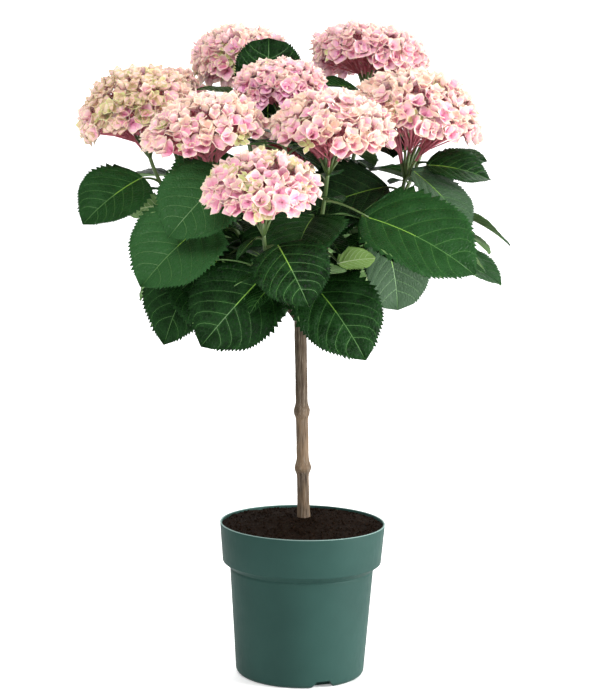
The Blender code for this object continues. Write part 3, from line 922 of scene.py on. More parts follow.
@dataclass(frozen=True)
class Leaf:
    """A leaf on its joint: its stalk and its blade, each a heading, a rise and a length."""

    at: float
    petiole: Reach
    blade: Reach
    droop: float = 35.0
    roll: float = 0.0
    ratio: float = 0.78
    blunt: float = 0.0
    # Tone from the shade colour to the light colour, -1 for a random one: partly the leaf's own
    # tone, partly painted shade and painted light.
    tone: float = -1.0
    # Share of a painted grey sheen on the blade.
    painted_sheen: float = 0.0
    young: float = 0.0

    SHOULDER = 0.48
    TAPER = 0.66
    FOLD = 9.0

    @property
    def length(self) -> float:
        """Length of the blade."""
        return self.blade[2]

    def half_width(self, share: float) -> float:
        """Half width of the blade at a share of its length.

        Args:
            share: Place along the midrib, from 0 to 1.

        Returns:
            The half width.
        """
        peak = self.SHOULDER / (self.SHOULDER + self.TAPER)
        taper = self.TAPER * (1 - self.blunt)
        width = (share / peak) ** self.SHOULDER * ((1 - share) / (1 - peak)) ** taper
        return width * self.length * self.ratio / 2

    def spot(self, share: float, reach: float, lift: float = 0.0) -> Vector:
        """Point of the blade in its own space: X along its chord, Y left, Z out of its face.

        Args:
            share: Place along the midrib.
            reach: Distance from the midrib, positive to the left.
            lift: Height above the blade's middle surface.

        Returns:
            The point.
        """
        bend = math.radians(max(self.droop, 0.5))
        slope = bend * (0.5 - share)
        along = self.length / bend * (math.sin(bend / 2) - math.sin(slope))
        height = self.length / bend * (math.cos(slope) - math.cos(bend / 2))
        rise = abs(reach) * math.sin(math.radians(self.FOLD)) + lift
        side = reach * math.cos(math.radians(self.FOLD))
        return Vector((along - rise * math.sin(slope), side, height + rise * math.cos(slope)))

    def place(self, base: Vector) -> Matrix:
        """Place of the blade.

        Args:
            base: End of its stalk.

        Returns:
            Matrix from the blade's own space.
        """
        chord = bearing(self.blade[0], self.blade[1])
        left = Matrix.Rotation(math.radians(self.roll), 3, chord) @ bearing(self.blade[0] + 90, 0)
        place = Matrix((chord, left, chord.cross(left))).transposed().to_4x4()
        place.translation = base
        return place

    def nudged(self, size: float, lift: float, turn: float) -> "Leaf":
        """The leaf moved a little on its joint.

        Args:
            size: Factor of its lengths.
            lift: Degrees that it rises.
            turn: Degrees that it swings round.

        Returns:
            The moved leaf.
        """
        heading, rise, length = self.petiole
        petiole = (heading + turn, rise + lift / 2, length * size)
        heading, rise, length = self.blade
        return replace(self, petiole=petiole, blade=(heading + turn, rise + lift, length * size))


# The tones are partly each leaf's own tone and partly painted shade and painted light: low where a
# leaf sits in shade, higher where it should look lit. Some leaves also carry a share of painted
# grey sheen.
LEAVES: dict[str, tuple[Leaf, ...]] = {
    "left": (
        Leaf(0.85, (-153, 20, 0.024), (-150, -35, 0.092), 35, -35, 0.86, tone=0.28),
        Leaf(0.76, (-140, -25, 0.013), (-150, -10, 0.044), 25, 60, 0.75, tone=0.60),
        Leaf(0.64, (135, 35, 0.015), (155, -25, 0.055), 30, 0, tone=0.10),
        Leaf(0.50, (-85, -10, 0.027), (-145, -61, 0.126), 40, -30, 0.72, tone=0.12),
    ),
    "near_left": (
        Leaf(0.80, (-140, -45, 0.020), (-150, -40, 0.112), 35, -35, 0.95, tone=0.66, painted_sheen=0.12),
        Leaf(0.93, (-58, 26, 0.034), (-148, -42, 0.100), 35, -45, 0.90, tone=0.62, painted_sheen=0.12),
        Leaf(0.50, (-170, -30, 0.016), (-165, -35, 0.075), 35, -50, tone=0.10),
        Leaf(0.40, (30, -60, 0.030), (-60, -70, 0.055), tone=0.15),
    ),
    "middle": (
        Leaf(0.60, (-170, 20, 0.058), (-160, -45, 0.108), 35, -40, 0.95, tone=0.80, painted_sheen=0.10),
        Leaf(0.42, (-120, -10, 0.030), (-125, -50, 0.085), 30, -20, tone=0.05),
        Leaf(0.95, (107, 6, 0.060), (92, 84, 0.092), 16, 0, 0.78, 0.5, tone=0.0),
    ),
    "front": (
        Leaf(0.40, (-160, 45, 0.031), (-142, -46, 0.108), 35, -60, 0.92, tone=0.05),
        Leaf(0.40, (-15, 30, 0.034), (-37, -46, 0.114), 40, 35, 0.84, tone=0.04),
        Leaf(0.58, (56, 30, 0.020), (56, -18, 0.069), 38),
        Leaf(0.74, (118, 38, 0.017), (118, 2, 0.062), 38),
        Leaf(0.90, (-45, 20, 0.020), (-48, -50, 0.080), 35, 35, 1.00, tone=0.0),
        Leaf(0.96, (170, 20, 0.009), (-150, -45, 0.034), 20, 0, 0.50, tone=0.10),
        Leaf(0.66, (150, 26, 0.030), (155, 5, 0.070)),
        Leaf(0.66, (40, 20, 0.030), (50, -15, 0.080)),
    ),
    "near_right": (
        Leaf(0.80, (5, -20, 0.044), (-15, -25, 0.145), 35, 35, 0.82, tone=0.28),
        Leaf(0.45, (-5, -40, 0.032), (-15, 10, 0.044), 20, -50, young=0.9),
        Leaf(0.90, (100, 30, 0.020), (100, -5, 0.064), 30),
    ),
    "right": (
        Leaf(0.90, (-125, 25, 0.021), (-145, -20, 0.115), 30, -35, 0.85, tone=0.0, painted_sheen=0.20),
        Leaf(0.95, (-50, 55, 0.023), (-20, -45, 0.100), 30, 15, 0.72, painted_sheen=0.75),
        Leaf(0.97, (0, 35, 0.032), (-10, -20, 0.076), 30, 30, tone=0.08),
        Leaf(0.38, (-45, 50, 0.054), (-60, -75, 0.090), 35, 20, 0.88, 0.45, painted_sheen=0.85),
    ),
    "far_right": (
        Leaf(0.90, (-40, 0, 0.022), (-10, 5, 0.066), 30, 20, tone=0.25),
        Leaf(0.70, (-20, -5, 0.052), (-15, -25, 0.095), 30, -10, tone=0.30),
        Leaf(0.50, (-20, -10, 0.048), (-15, -20, 0.115), 35, 10, tone=0.40, painted_sheen=0.30),
        Leaf(0.42, (86, 30, 0.034), (86, -38, 0.118), 38),
        Leaf(0.42, (-64, 22, 0.030), (-64, -46, 0.086), 38),
    ),
    "back_left": (
        Leaf(0.92, (-140, 45, 0.024), (-150, 5, 0.050), 20, 10, 0.60),
    ),
    "back_right": (
        Leaf(0.90, (-120, 60, 0.030), (-155, 5, 0.048), 20, -20),
    ),
}

# Small leaves in the middle of the crown; their low tones are partly painted shade.
EXTRA_LEAVES: dict[str, tuple[Leaf, ...]] = {
    "middle": (
        Leaf(0.30, (-150, 10, 0.026), (-145, -55, 0.082), 25, tone=0.05),
        Leaf(0.50, (150, 10, 0.026), (165, -40, 0.084), 25, tone=0.05),
        Leaf(0.30, (-40, 10, 0.022), (-50, -55, 0.076), 25, tone=0.05),
    ),
    "left": (
        Leaf(0.36, (-110, 20, 0.018), (-115, -45, 0.078), 25, tone=0.05),
        Leaf(0.30, (-60, 10, 0.016), (-80, -50, 0.072), 25, tone=0.05),
        Leaf(0.58, (-30, 15, 0.022), (-40, -35, 0.074), 25, tone=0.05),
    ),
    "near_left": (
        Leaf(0.30, (165, 30, 0.016), (-160, -50, 0.074), 25, tone=0.05),
        Leaf(0.62, (120, 20, 0.020), (-170, -30, 0.070), 25, tone=0.10),
    ),
    "near_right": (
        Leaf(0.34, (-60, 15, 0.016), (-75, -50, 0.076), 25, tone=0.05),
    ),
    "right": (
        Leaf(0.52, (-110, 20, 0.020), (-100, -40, 0.080), 25, tone=0.05),
    ),
    "far_left": (
        Leaf(0.50, (-30, 10, 0.030), (-45, -25, 0.100), 25, tone=0.05),
    ),
}


@dataclass(frozen=True)
class Row:
    """A row of a blade's grid: where it meets the midrib, and what runs along it.

    side is -1 or 1 on the two edges of a side vein. phase runs from 0 at one vein to 1 at the
    next.
    """

    share: float
    side: int
    phase: float


@dataclass(frozen=True)
class BladeGrid:
    """The grid that each blade is warped from. Its rows follow the side veins."""

    first_vein: float = 0.040
    vein_step: float = 0.140
    rows_between: tuple[int, ...] = (5, 4, 3, 3, 2, 3)
    base_rows: tuple[float, ...] = (0.0, 0.0006, 0.004, 0.012, 0.024)
    columns: tuple[float, ...] = (0.0, 0.08, 0.22, 0.38, 0.55, 0.72, 0.88, 1.0)
    sweep: float = 0.70
    stagger: float = 0.016
    vein_reach: float = 0.90
    midrib: float = 0.00064
    midrib_tip: float = 0.00020
    bright_midrib: float = 0.42
    vein: float = 0.00018
    vein_taper: float = 0.75
    tooth: float = 0.72
    tooth_lean: float = 0.84
    tooth_start: float = 0.05
    first_tooth: float = 0.16
    drip_tip: Reach = (0.68, 1.06, 0.50)
    blunt: float = 0.10
    toothed: Pair = (0.90, 0.98)
    pleat: float = 0.0024
    pleat_power: float = 0.8
    pleat_start: float = 0.30
    pleat_fade: Pair = (0.60, 0.50)
    wave: float = 0.0022
    wave_power: float = 2.5
    waves: float = 9.5
    midrib_sink: float = 0.0006
    midrib_groove: float = 0.16
    usual_length: float = 0.115
    usual_tones: Pair = (0.0, 0.30)
    thickness: float = 0.00045
    weld: float = 2e-5

    def rows(self) -> list[Row]:
        """Rows of the grid.

        Returns:
            The rows, from the blade's base to its tip.
        """
        rows = [Row(share, 0, share / self.first_vein) for share in self.base_rows]
        for index, count in enumerate(self.rows_between):
            vein = self.first_vein + self.vein_step * index
            gap = min(self.vein_step, 1 - vein)
            rows += [Row(vein, -1, 0.0), Row(vein, 1, 0.0)]
            rows += [Row(vein + gap * step / count, 0, step / count) for step in range(1, count)]
        return rows + [Row(1.0, 0, 0.0)]

    def signed_columns(self) -> list[float]:
        """Columns of the grid from the right edge to the left, two of them beside the midrib."""
        right = [-column for column in reversed(self.columns)]
        return right + list(self.columns)

    def template(self) -> BMesh:
        """The flat grid, with X and Y counting its rows and columns.

        Returns:
            The grid, its veins in their own material slots, and a spare vertex for a tooth halfway
            along each edge of its margin.
        """
        rows, columns = self.rows(), self.signed_columns()
        bm = bmesh.new()
        bmesh.ops.create_grid(bm, x_segments=len(rows) - 1, y_segments=len(columns) - 1, size=0.5)
        for vert in bm.verts:
            row = round((vert.co.x + 0.5) * (len(rows) - 1))
            column = round((vert.co.y + 0.5) * (len(columns) - 1))
            vert.co = (row, column, 0)
        for face in bm.faces:
            row = int(min(vert.co.x for vert in face.verts))
            column = int(min(vert.co.y for vert in face.verts))
            if column == len(columns) // 2 - 1:
                face.material_index = 1 if rows[row].share < self.bright_midrib else 2
            elif rows[row].side == -1 and self.vein_reach > max(abs(columns[column]),
                                                                abs(columns[column + 1])):
                face.material_index = 2
        margin = [edge for edge in bm.edges if edge.is_boundary
                  and edge.verts[0].co.y == edge.verts[1].co.y
                  and rows[int(min(vert.co.x for vert in edge.verts))].side != -1]
        bmesh.ops.subdivide_edges(bm, edges=margin, cuts=1)
        return bm


@dataclass
class LeafCutter:
    """Cuts finished blades out of the grid."""

    grid: BladeGrid = field(default_factory=BladeGrid)

    def __post_init__(self) -> None:
        """Prepare the grid once for all the leaves."""
        self.rows = self.grid.rows()
        self.columns = self.grid.signed_columns()
        self.template = self.grid.template()

    def share(self, row: Row, across: float, left: bool, length: float) -> float:
        """Where a row passes.

        Args:
            row: The row.
            across: Share of the way to the margin.
            left: Whether that is the left one.
            length: Length of the blade.

        Returns:
            The place along the blade.
        """
        shift = self.grid.stagger if left else -self.grid.stagger
        start = min(1.0, row.share + shift * math.sin(math.pi * row.share))
        edge = row.side * self.grid.vein * (1 - self.grid.vein_taper * abs(across)) / length
        return min(1.0, max(0.0, start ** (1 - self.grid.sweep * abs(across)) + edge))

    def reach(self, leaf: Leaf, share: float, across: float) -> float:
        """Distance from the midrib, whose own width is kept free.

        Args:
            leaf: The leaf.
            share: Place along it.
            across: Share of the way to the margin.

        Returns:
            The distance.
        """
        first, last, pinch = self.grid.drip_tip
        rib = self.grid.midrib + (self.grid.midrib_tip - self.grid.midrib) * share
        pinch *= 1 - leaf.blunt
        half = leaf.half_width(share) * (1 - pinch * smooth_step(first, last, share))
        return rib + abs(across) * max(0.0, half - rib)

    def lift(self, phase: float, share: float, across: float, turn: float) -> float:
        """Height of the quilted surface on a blade of the usual length.

        Args:
            phase: Place between two side veins.
            share: Place along the blade.
            across: Share of the way to the margin.
            turn: Start of the margin's waves.

        Returns:
            Height above the middle surface.
        """
        grid = self.grid
        side = abs(across)
        out, on = grid.pleat_fade
        pleat = grid.pleat * math.sin(math.pi * phase) ** grid.pleat_power
        pleat *= smooth_step(0.0, grid.pleat_start, side) * (1 - out * side) * (1 - on * share)
        wave = grid.wave * side ** grid.wave_power
        wave *= math.sin(grid.waves * share + turn)
        groove = grid.midrib_sink * (1 - smooth_step(0.0, grid.midrib_groove, side))
        return pleat + wave - groove

    def spot(self, leaf: Leaf, at: float, column: int, turns: Sequence[float]) -> Reach:
        """Where a vertex of the grid lies on a leaf.

        Args:
            leaf: The settled leaf.
            at: The vertex's row. Halfway between two rows it is the point of a tooth.
            column: Its column.
            turns: Where the waves of the right and left margin start.

        Returns:
            The vertex's share of the length, its signed distance from the midrib and its lift.
        """
        grid = self.grid
        low, high = self.rows[math.floor(at)], self.rows[math.ceil(at)]
        across, left = self.columns[column], column >= len(self.columns) // 2
        share, end = (self.share(row, across, left, leaf.length) for row in (low, high))
        reach, phase = self.reach(leaf, share, across), low.phase
        if high is not low:
            along, aside = end - share, (self.reach(leaf, end, across) - reach) / leaf.length
            size = grid.tooth * smooth_step(grid.tooth_start, grid.first_tooth, share)
            size *= 1 - smooth_step(*grid.toothed, end)
            share += along * grid.tooth_lean - aside * size
            reach += (aside * grid.tooth_lean + along * size) * leaf.length
            phase = (low.phase + (high.phase or 1.0)) / 2
        size = leaf.length / grid.usual_length
        lift = self.lift(phase, share, across, turns[left]) * size
        return share, reach if left else -reach, lift

    def blade(self, leaf: Leaf, base: Vector, rng: random.Random) -> BMesh:
        """A finished blade.

        Args:
            leaf: The settled leaf.
            base: Where its stalk ends.
            rng: Source of its small differences from the others.

        Returns:
            The blade as one sheet, with its UV map in tenths of a metre.
        """
        bm = self.template.copy()
        leaf = replace(leaf, blunt=max(leaf.blunt, self.grid.blunt))
        flat = bm.loops.layers.uv.new("flat")
        vein, tone, painted_sheen, young = (bm.verts.layers.float.new(name)
                                   for name in ("vein", "tone", "painted_sheen", "young"))
        place, usual_tone = leaf.place(base), rng.uniform(*self.grid.usual_tones)
        tone_and_painted_light = leaf.tone if leaf.tone >= 0 else usual_tone
        turns = [rng.uniform(0, math.tau) for _ in range(2)]
        spots = {}
        for vert in bm.verts:
            at, column = vert.co.x, round(vert.co.y)
            share, reach, lift = self.spot(leaf, at, column, turns)
            spots[vert] = (share * leaf.length * 10, reach * 10)
            beside = self.rows[round(at)].side or self.columns[column] == 0.0
            vert[vein] = 1.0 if beside else 0.0
            # Tone: partly the leaf's own, partly painted shade and painted light.
            vert[tone] = tone_and_painted_light
            # Share of painted grey sheen.
            vert[painted_sheen] = leaf.painted_sheen
            vert[young] = leaf.young
            vert.co = place @ leaf.spot(share, reach, lift)
        for face in bm.faces:
            for loop in face.loops:
                loop[flat].uv = spots[loop.vert]
        bmesh.ops.remove_doubles(bm, verts=bm.verts, dist=self.grid.weld)
        return bm


# ---- shoots

@dataclass(frozen=True)
class Shoot:
    """One bough, the stem that carries it on, and the place of its flower head.

    joint is the height at which the bough leaves the trunk. heading, reach and height place the
    middle of the head, seen from the trunk. lean tilts the head outwards. stalk is the length from
    that middle down to the hub where the head's stalks meet, and rise the height of the dome above
    its middle. pair turns the pairs of leaves round the stem. mood is the colouring of the head,
    spacing the distance between its florets, and skirt how far they reach below its middle.
    """

    name: str
    joint: float
    heading: float
    reach: float
    height: float
    lean: float
    stalk: float
    width: float
    rise: float
    pair: float
    mood: Mood
    spacing: float = 0.0140
    skirt: float = 0.006

    BOUGH_SHARE = 0.34
    BOUGH_COLLAR = 0.0042
    BOUGH_RADIUS = 0.0036
    BOUGH_TIP_RADIUS = 0.0028
    COLLAR_FADE = 9.0
    STEM_TIP_RADIUS = 0.0022
    LEAVE_RISE = 38.0
    HANDLE = 0.33
    HUB_SHARE = 0.985
    HEAD_REACH = 106.0
    HEAD_INSET = 0.0020
    HEAD_HOLLOW = 0.2
    HEAD_MARGIN = 1.07
    STALK_POLAR = 100.0
    STALK_SHARE = 0.56
    PETIOLE_BOW = 0.08
    TRIAL_BOUGH = (5, 6)
    TRIAL_STEM = (6, 5)

    # the line of the limb

    def start(self) -> tuple[Vector, Vector]:
        """Where the bough leaves the trunk.

        Returns:
            The place, and the direction that the first ring faces.
        """
        if self.joint > TRUNK.top[2]:
            return Vector(TRUNK.top) + GAP * UP, UP.copy()
        away = bearing(self.heading, 0)
        return TRUNK.axis(self.joint) + away * (TRUNK.radius(self.joint) + GAP), away

    def axis(self) -> Vector:
        """Direction that the top of the head faces."""
        return bearing(self.heading, 90 - self.lean)

    def middle(self) -> Vector:
        """Middle of the head."""
        middle = Vector(TRUNK.top) + self.reach * bearing(self.heading, 0)
        return Vector((middle.x, middle.y, self.height))

    def point(self, share: float) -> Vector:
        """Point of the limb.

        Args:
            share: Share of the way from the trunk, 0, to the hub, 1.

        Returns:
            The point.
        """
        start, facing = self.start()
        end = self.middle() - self.axis() * self.stalk
        span = (end - start).length
        leave = facing if facing.z else bearing(self.heading, self.LEAVE_RISE)
        first = start + leave * span * self.HANDLE
        second = end - self.axis() * span * self.HANDLE
        rest = 1 - share
        return (rest ** 3 * start + 3 * rest ** 2 * share * first
                + 3 * rest * share ** 2 * second + share ** 3 * end)

    def line(self, first: float, last: float, steps: int) -> list[Vector]:
        """Points of the limb between two shares of its way."""
        return [self.point(first + (last - first) * i / steps) for i in range(steps + 1)]

    def stem_start(self, clear: float = 1.5 * GAP) -> float:
        """Share of the limb's way at which the green stem starts, clear of the bough's tip."""
        start = self.point(self.BOUGH_SHARE)
        return self.BOUGH_SHARE + clear / (self.point(1.0) - start).length

    def bough_radii(self, steps: int) -> list[float]:
        """Radii of the bough from its collar to its tip."""
        taper = self.BOUGH_TIP_RADIUS - self.BOUGH_RADIUS
        return [self.BOUGH_RADIUS + taper * i / steps
                + (self.BOUGH_COLLAR - self.BOUGH_RADIUS) * math.exp(-self.COLLAR_FADE * i / steps)
                for i in range(steps + 1)]

    def stem_radii(self, steps: int) -> list[float]:
        """Radii of the stem from the bough's tip to the hub."""
        taper = self.STEM_TIP_RADIUS - self.BOUGH_TIP_RADIUS
        return [self.BOUGH_TIP_RADIUS + taper * i / steps for i in range(steps + 1)]

    # the dome of the head

    def head_place(self) -> Matrix:
        """Matrix that puts the head's own space, with its top along +Z, in its place."""
        turn = UP.rotation_difference(self.axis())
        return Matrix.Translation(self.middle()) @ turn.to_matrix().to_4x4()

    def half_sizes(self) -> Pair:
        """Half width and height of the dome."""
        return self.width / 2 - self.HEAD_INSET, self.rise

    def dome(self, polar: float, turn: float, share: float = 1.0) -> Vector:
        """Point of the dome in its own space.

        Args:
            polar: Angle from its top.
            turn: Turn round it.
            share: Share of its size.

        Returns:
            The point.
        """
        wide, high = self.half_sizes()
        level = wide * math.sin(polar)
        return share * Vector((level * math.cos(turn), level * math.sin(turn),
                               high * math.cos(polar)))

    # trial solids

    def trial_dome(self, sides: int = 16, count: int = 7) -> BMesh:
        """The space kept for the head.

        Args:
            sides: Faces round it.
            count: Rings below its top.

        Returns:
            The trial solid.
        """
        bm = bmesh.new()
        share = self.HEAD_MARGIN
        polars = [math.radians(self.HEAD_REACH) * i / count for i in range(1, count + 1)]
        rings = [[bm.verts.new(self.dome(polar, math.tau * i / sides, share))
                  for i in range(sides)] for polar in polars]
        top = bm.verts.new(self.dome(0, 0, share))
        low = bm.verts.new(self.dome(math.pi, 0, share * self.HEAD_HOLLOW))
        for i, j in zip(range(sides), (*range(1, sides), 0)):
            bm.faces.new((top, rings[0][i], rings[0][j]))
            bm.faces.new((low, rings[-1][j], rings[-1][i]))
            for upper, lower in zip(rings, rings[1:]):
                bm.faces.new((upper[i], lower[i], lower[j], upper[j]))
        bmesh.ops.transform(bm, matrix=self.head_place(), verts=bm.verts)
        return bm

    def trial_stalks(self, count: int = 5, radius: float = 0.0012) -> Iterator[BMesh]:
        """The stalks that fan from the hub into the underside of the head.

        Args:
            count: Number of stalks.
            radius: Radius of each.

        Returns:
            Their trial solids.
        """
        place, hub = self.head_place(), self.point(self.HUB_SHARE)
        for i in range(count):
            turn = math.tau * i / count
            target = self.dome(math.radians(self.STALK_POLAR), turn, self.STALK_SHARE)
            yield trial_tube([hub, place @ target], [radius] * 2, 3)

    def spaces(self) -> Iterator[Space]:
        """Everything of the shoot that a leaf has to stay clear of.

        Returns:
            The spaces.
        """
        steps, sides = self.TRIAL_BOUGH
        taper = [self.BOUGH_RADIUS + (self.BOUGH_TIP_RADIUS - self.BOUGH_RADIUS) * i / steps
                 for i in range(1, steps + 1)]
        bough = trial_tube(self.line(0.0, self.BOUGH_SHARE, steps), [self.BOUGH_COLLAR] + taper,
                           sides, self.start()[1])
        yield Space(tree_of(bough))
        steps, sides = self.TRIAL_STEM
        stem = trial_tube(self.line(self.stem_start(), 1.0, steps), self.stem_radii(steps), sides)
        yield Space(tree_of(stem), self.name)
        yield Space(tree_of(self.trial_dome()), self.name)
        for stalk in self.trial_stalks():
            yield Space(tree_of(stalk), self.name, False)

    # leaves

    def petiole_line(self, leaf: Leaf) -> list[Vector]:
        """Line of a bowed leaf stalk.

        Args:
            leaf: The leaf.

        Returns:
            Its foot inside the stem, its middle and its end.
        """
        start = self.point(leaf.at)
        heading, rise, length = leaf.petiole
        end = start + length * bearing(heading, rise)
        return [start, start.lerp(end, 0.5) + self.PETIOLE_BOW * length * UP, end]


SHOOTS: tuple[Shoot, ...] = (
    Shoot("left", 0.424, 177, 0.185, 0.637, 16, 0.045, 0.140, 0.056, 90, Mood.CREAMY),
    Shoot("near_left", 0.439, -136, 0.147, 0.619, 16, 0.042, 0.138, 0.047, 20, Mood.PINK,
          skirt=-0.003),
    Shoot("front", 0.408, -102, 0.198, 0.568, 18, 0.046, 0.126, 0.041, 40, Mood.PALE,
          skirt=0.001),
    Shoot("back_left", 0.454, 120, 0.150, 0.706, 10, 0.042, 0.114, 0.035, 75, Mood.FRESH,
          skirt=0.026),
    Shoot("middle", 0.471, 200, 0.027, 0.675, 4, 0.036, 0.106, 0.031, 10, Mood.LILAC, 0.0118,
          0.016),
    Shoot("near_right", 0.449, -73, 0.109, 0.624, 14, 0.042, 0.136, 0.048, 60, Mood.PEACHY,
          skirt=-0.003),
    Shoot("right", 0.421, 0, 0.126, 0.636, 8, 0.062, 0.154, 0.060, 90, Mood.PEACHY,
          skirt=0.004),
    Shoot("back_right", 0.441, 57, 0.144, 0.712, 12, 0.042, 0.138, 0.035, 30, Mood.ROSY,
          skirt=0.020),
    Shoot("back", 0.428, 90, 0.182, 0.602, 22, 0.044, 0.124, 0.042, 0, Mood.PINK, skirt=0.010),
    Shoot("far_left", 0.411, 134, 0.245, 0.655, 20, 0.044, 0.106, 0.031, 45, Mood.PINK,
          skirt=0.010),
    Shoot("far_right", 0.406, 48, 0.235, 0.650, 20, 0.044, 0.108, 0.037, 45, Mood.ROSY,
          skirt=0.010),
)


@dataclass(frozen=True)
class Settler:
    """Settles each leaf where it is clear of all the limbs, heads and other leaves."""

    stations: tuple[float, ...] = (0.10, 0.34, 0.62, 0.86)
    thickness: float = 1 / 45
    margin: float = 0.0018
    stalk_space: float = 0.0029
    turns: tuple[float, ...] = (0, 7, -7, 14, -14, 21, -21, 28, -28)
    lifts: tuple[float, ...] = (0, -8, 8, -16, 16)
    sizes: tuple[float, ...] = (1.0, 0.8, 0.62)
    pairs: tuple[tuple[float, float, float, float], ...] = (
        (0.42, 0.034, 0.118, -38), (0.58, 0.032, 0.112, -26),
        (0.74, 0.028, 0.100, -14), (0.90, 0.022, 0.084, 2))
    axils: tuple[tuple[float, float, float, float], ...] = (
        (0.40, 0.014, 0.052, -35), (0.50, 0.012, 0.044, -25), (0.66, 0.010, 0.036, -15),
        (0.80, 0.008, 0.030, -5))
    pair_rise: float = 30
    pair_droop: float = 38
    pair_spacing: float = 0.07
    axil_turn: float = 45
    axil_droop: float = 25

    def trial_blade(self, leaf: Leaf, base: Vector) -> BVHTree:
        """A plain blade with the clear space round it.

        Args:
            leaf: The leaf.
            base: End of its stalk.

        Returns:
            Its search tree.
        """
        place, length = leaf.place(base), leaf.length
        wide, thick = 1 + 2 * self.margin / length, length * self.thickness / 2 + self.margin
        bm = bmesh.new()

        def vert(share: float, across: float = 0.0, lift: float = 0.0) -> bmesh.types.BMVert:
            """Vertex of the trial blade."""
            reach = across * wide * leaf.half_width(share)
            return bm.verts.new(place @ leaf.spot(share, reach, lift))

        root, tip = vert(0.0), vert(1.0)
        rows = [(vert(s, -1), vert(s, 0, thick), vert(s, 1), vert(s, 0, -thick))
                for s in self.stations]
        for i, j in ((0, 1), (1, 2), (2, 3), (3, 0)):
            bm.faces.new((root, rows[0][j], rows[0][i]))
            bm.faces.new((tip, rows[-1][i], rows[-1][j]))
            for low, high in zip(rows, rows[1:]):
                bm.faces.new((low[i], low[j], high[j], high[i]))
        return tree_of(bm)

    def is_clear(self, shoot: Shoot, blade: BVHTree, stalk: BVHTree,
                 taken: Iterable[Space]) -> bool:
        """Whether a leaf is clear of what is there.

        Args:
            shoot: The leaf's shoot.
            blade: Its blade.
            stalk: Its stalk.
            taken: The spaces taken.

        Returns:
            True if it is clear of every one.
        """
        for space in taken:
            own = space.owner == shoot.name
            if (space.strict or not own) and space.tree.overlap(blade):
                return False
            if not own and space.tree.overlap(stalk):
                return False
        return True

    def settle(self, shoot: Shoot, leaf: Leaf, taken: list[Space]) -> Leaf | None:
        """Turn a leaf aside or make it smaller until it is clear.

        Args:
            shoot: Its shoot.
            leaf: The leaf.
            taken: The spaces taken, to which it is added.

        Returns:
            The settled leaf, or None.
        """
        for size, lift, turn in itertools.product(self.sizes, self.lifts, self.turns):
            tried = leaf.nudged(size, lift, turn)
            line = shoot.petiole_line(tried)
            blade = self.trial_blade(tried, line[-1])
            stalk = tree_of(trial_tube(line, [self.stalk_space] * 3, 3))
            if self.is_clear(shoot, blade, stalk, taken):
                taken += [Space(blade), Space(stalk, shoot.name)]
                return tried
        return None

    def paired(self, shoot: Shoot) -> Iterator[Leaf]:
        """Leaves in pairs at the stem's other joints, each pair at right angles to the last.

        Args:
            shoot: The shoot.

        Returns:
            The leaves.
        """
        own = LEAVES.get(shoot.name, ())
        for index, (at, petiole, blade, rise) in enumerate(self.pairs):
            bare = all(abs(leaf.at - at) > self.pair_spacing for leaf in own)
            for half in (0, 180) if bare else ():
                heading = shoot.heading + shoot.pair + 90 * index + half
                yield Leaf(at, (heading, self.pair_rise, petiole), (heading, rise, blade),
                           self.pair_droop)

    def small(self, shoot: Shoot) -> Iterator[Leaf]:
        """Small leaves in the angles of the stem's joints.

        Args:
            shoot: The shoot.

        Returns:
            The leaves.
        """
        for index, (at, petiole, blade, rise) in enumerate(self.axils):
            for half in (0, 180):
                heading = shoot.heading + shoot.pair + self.axil_turn + 90 * index + half
                yield Leaf(at, (heading, self.pair_rise, petiole), (heading, rise, blade),
                           self.axil_droop)

    def place(self) -> dict[str, list[Leaf]]:
        """Settle those with their own place, then the pairs, then the small ones.

        Returns:
            The settled leaves of each shoot.
        """
        taken = [Space(TRUNK.trial())]
        for shoot in SHOOTS:
            taken += shoot.spaces()
        placed = {shoot.name: [] for shoot in SHOOTS}
        for source in (lambda shoot: LEAVES.get(shoot.name, ()), self.paired,
                       lambda shoot: EXTRA_LEAVES.get(shoot.name, ()), self.small):
            for shoot, leaf in ((shoot, leaf) for shoot in SHOOTS for leaf in source(shoot)):
                settled = self.settle(shoot, leaf, taken)
                if settled:
                    placed[shoot.name].append(settled)
        return placed


# ---- florets

@dataclass(frozen=True)
class Cup:
    """How far a floret is open: the slope of a sepal at its claw and at its tip, in degrees."""

    claw: float
    tip: float
    length: float = 0.0126
    half_width: float = 0.0064


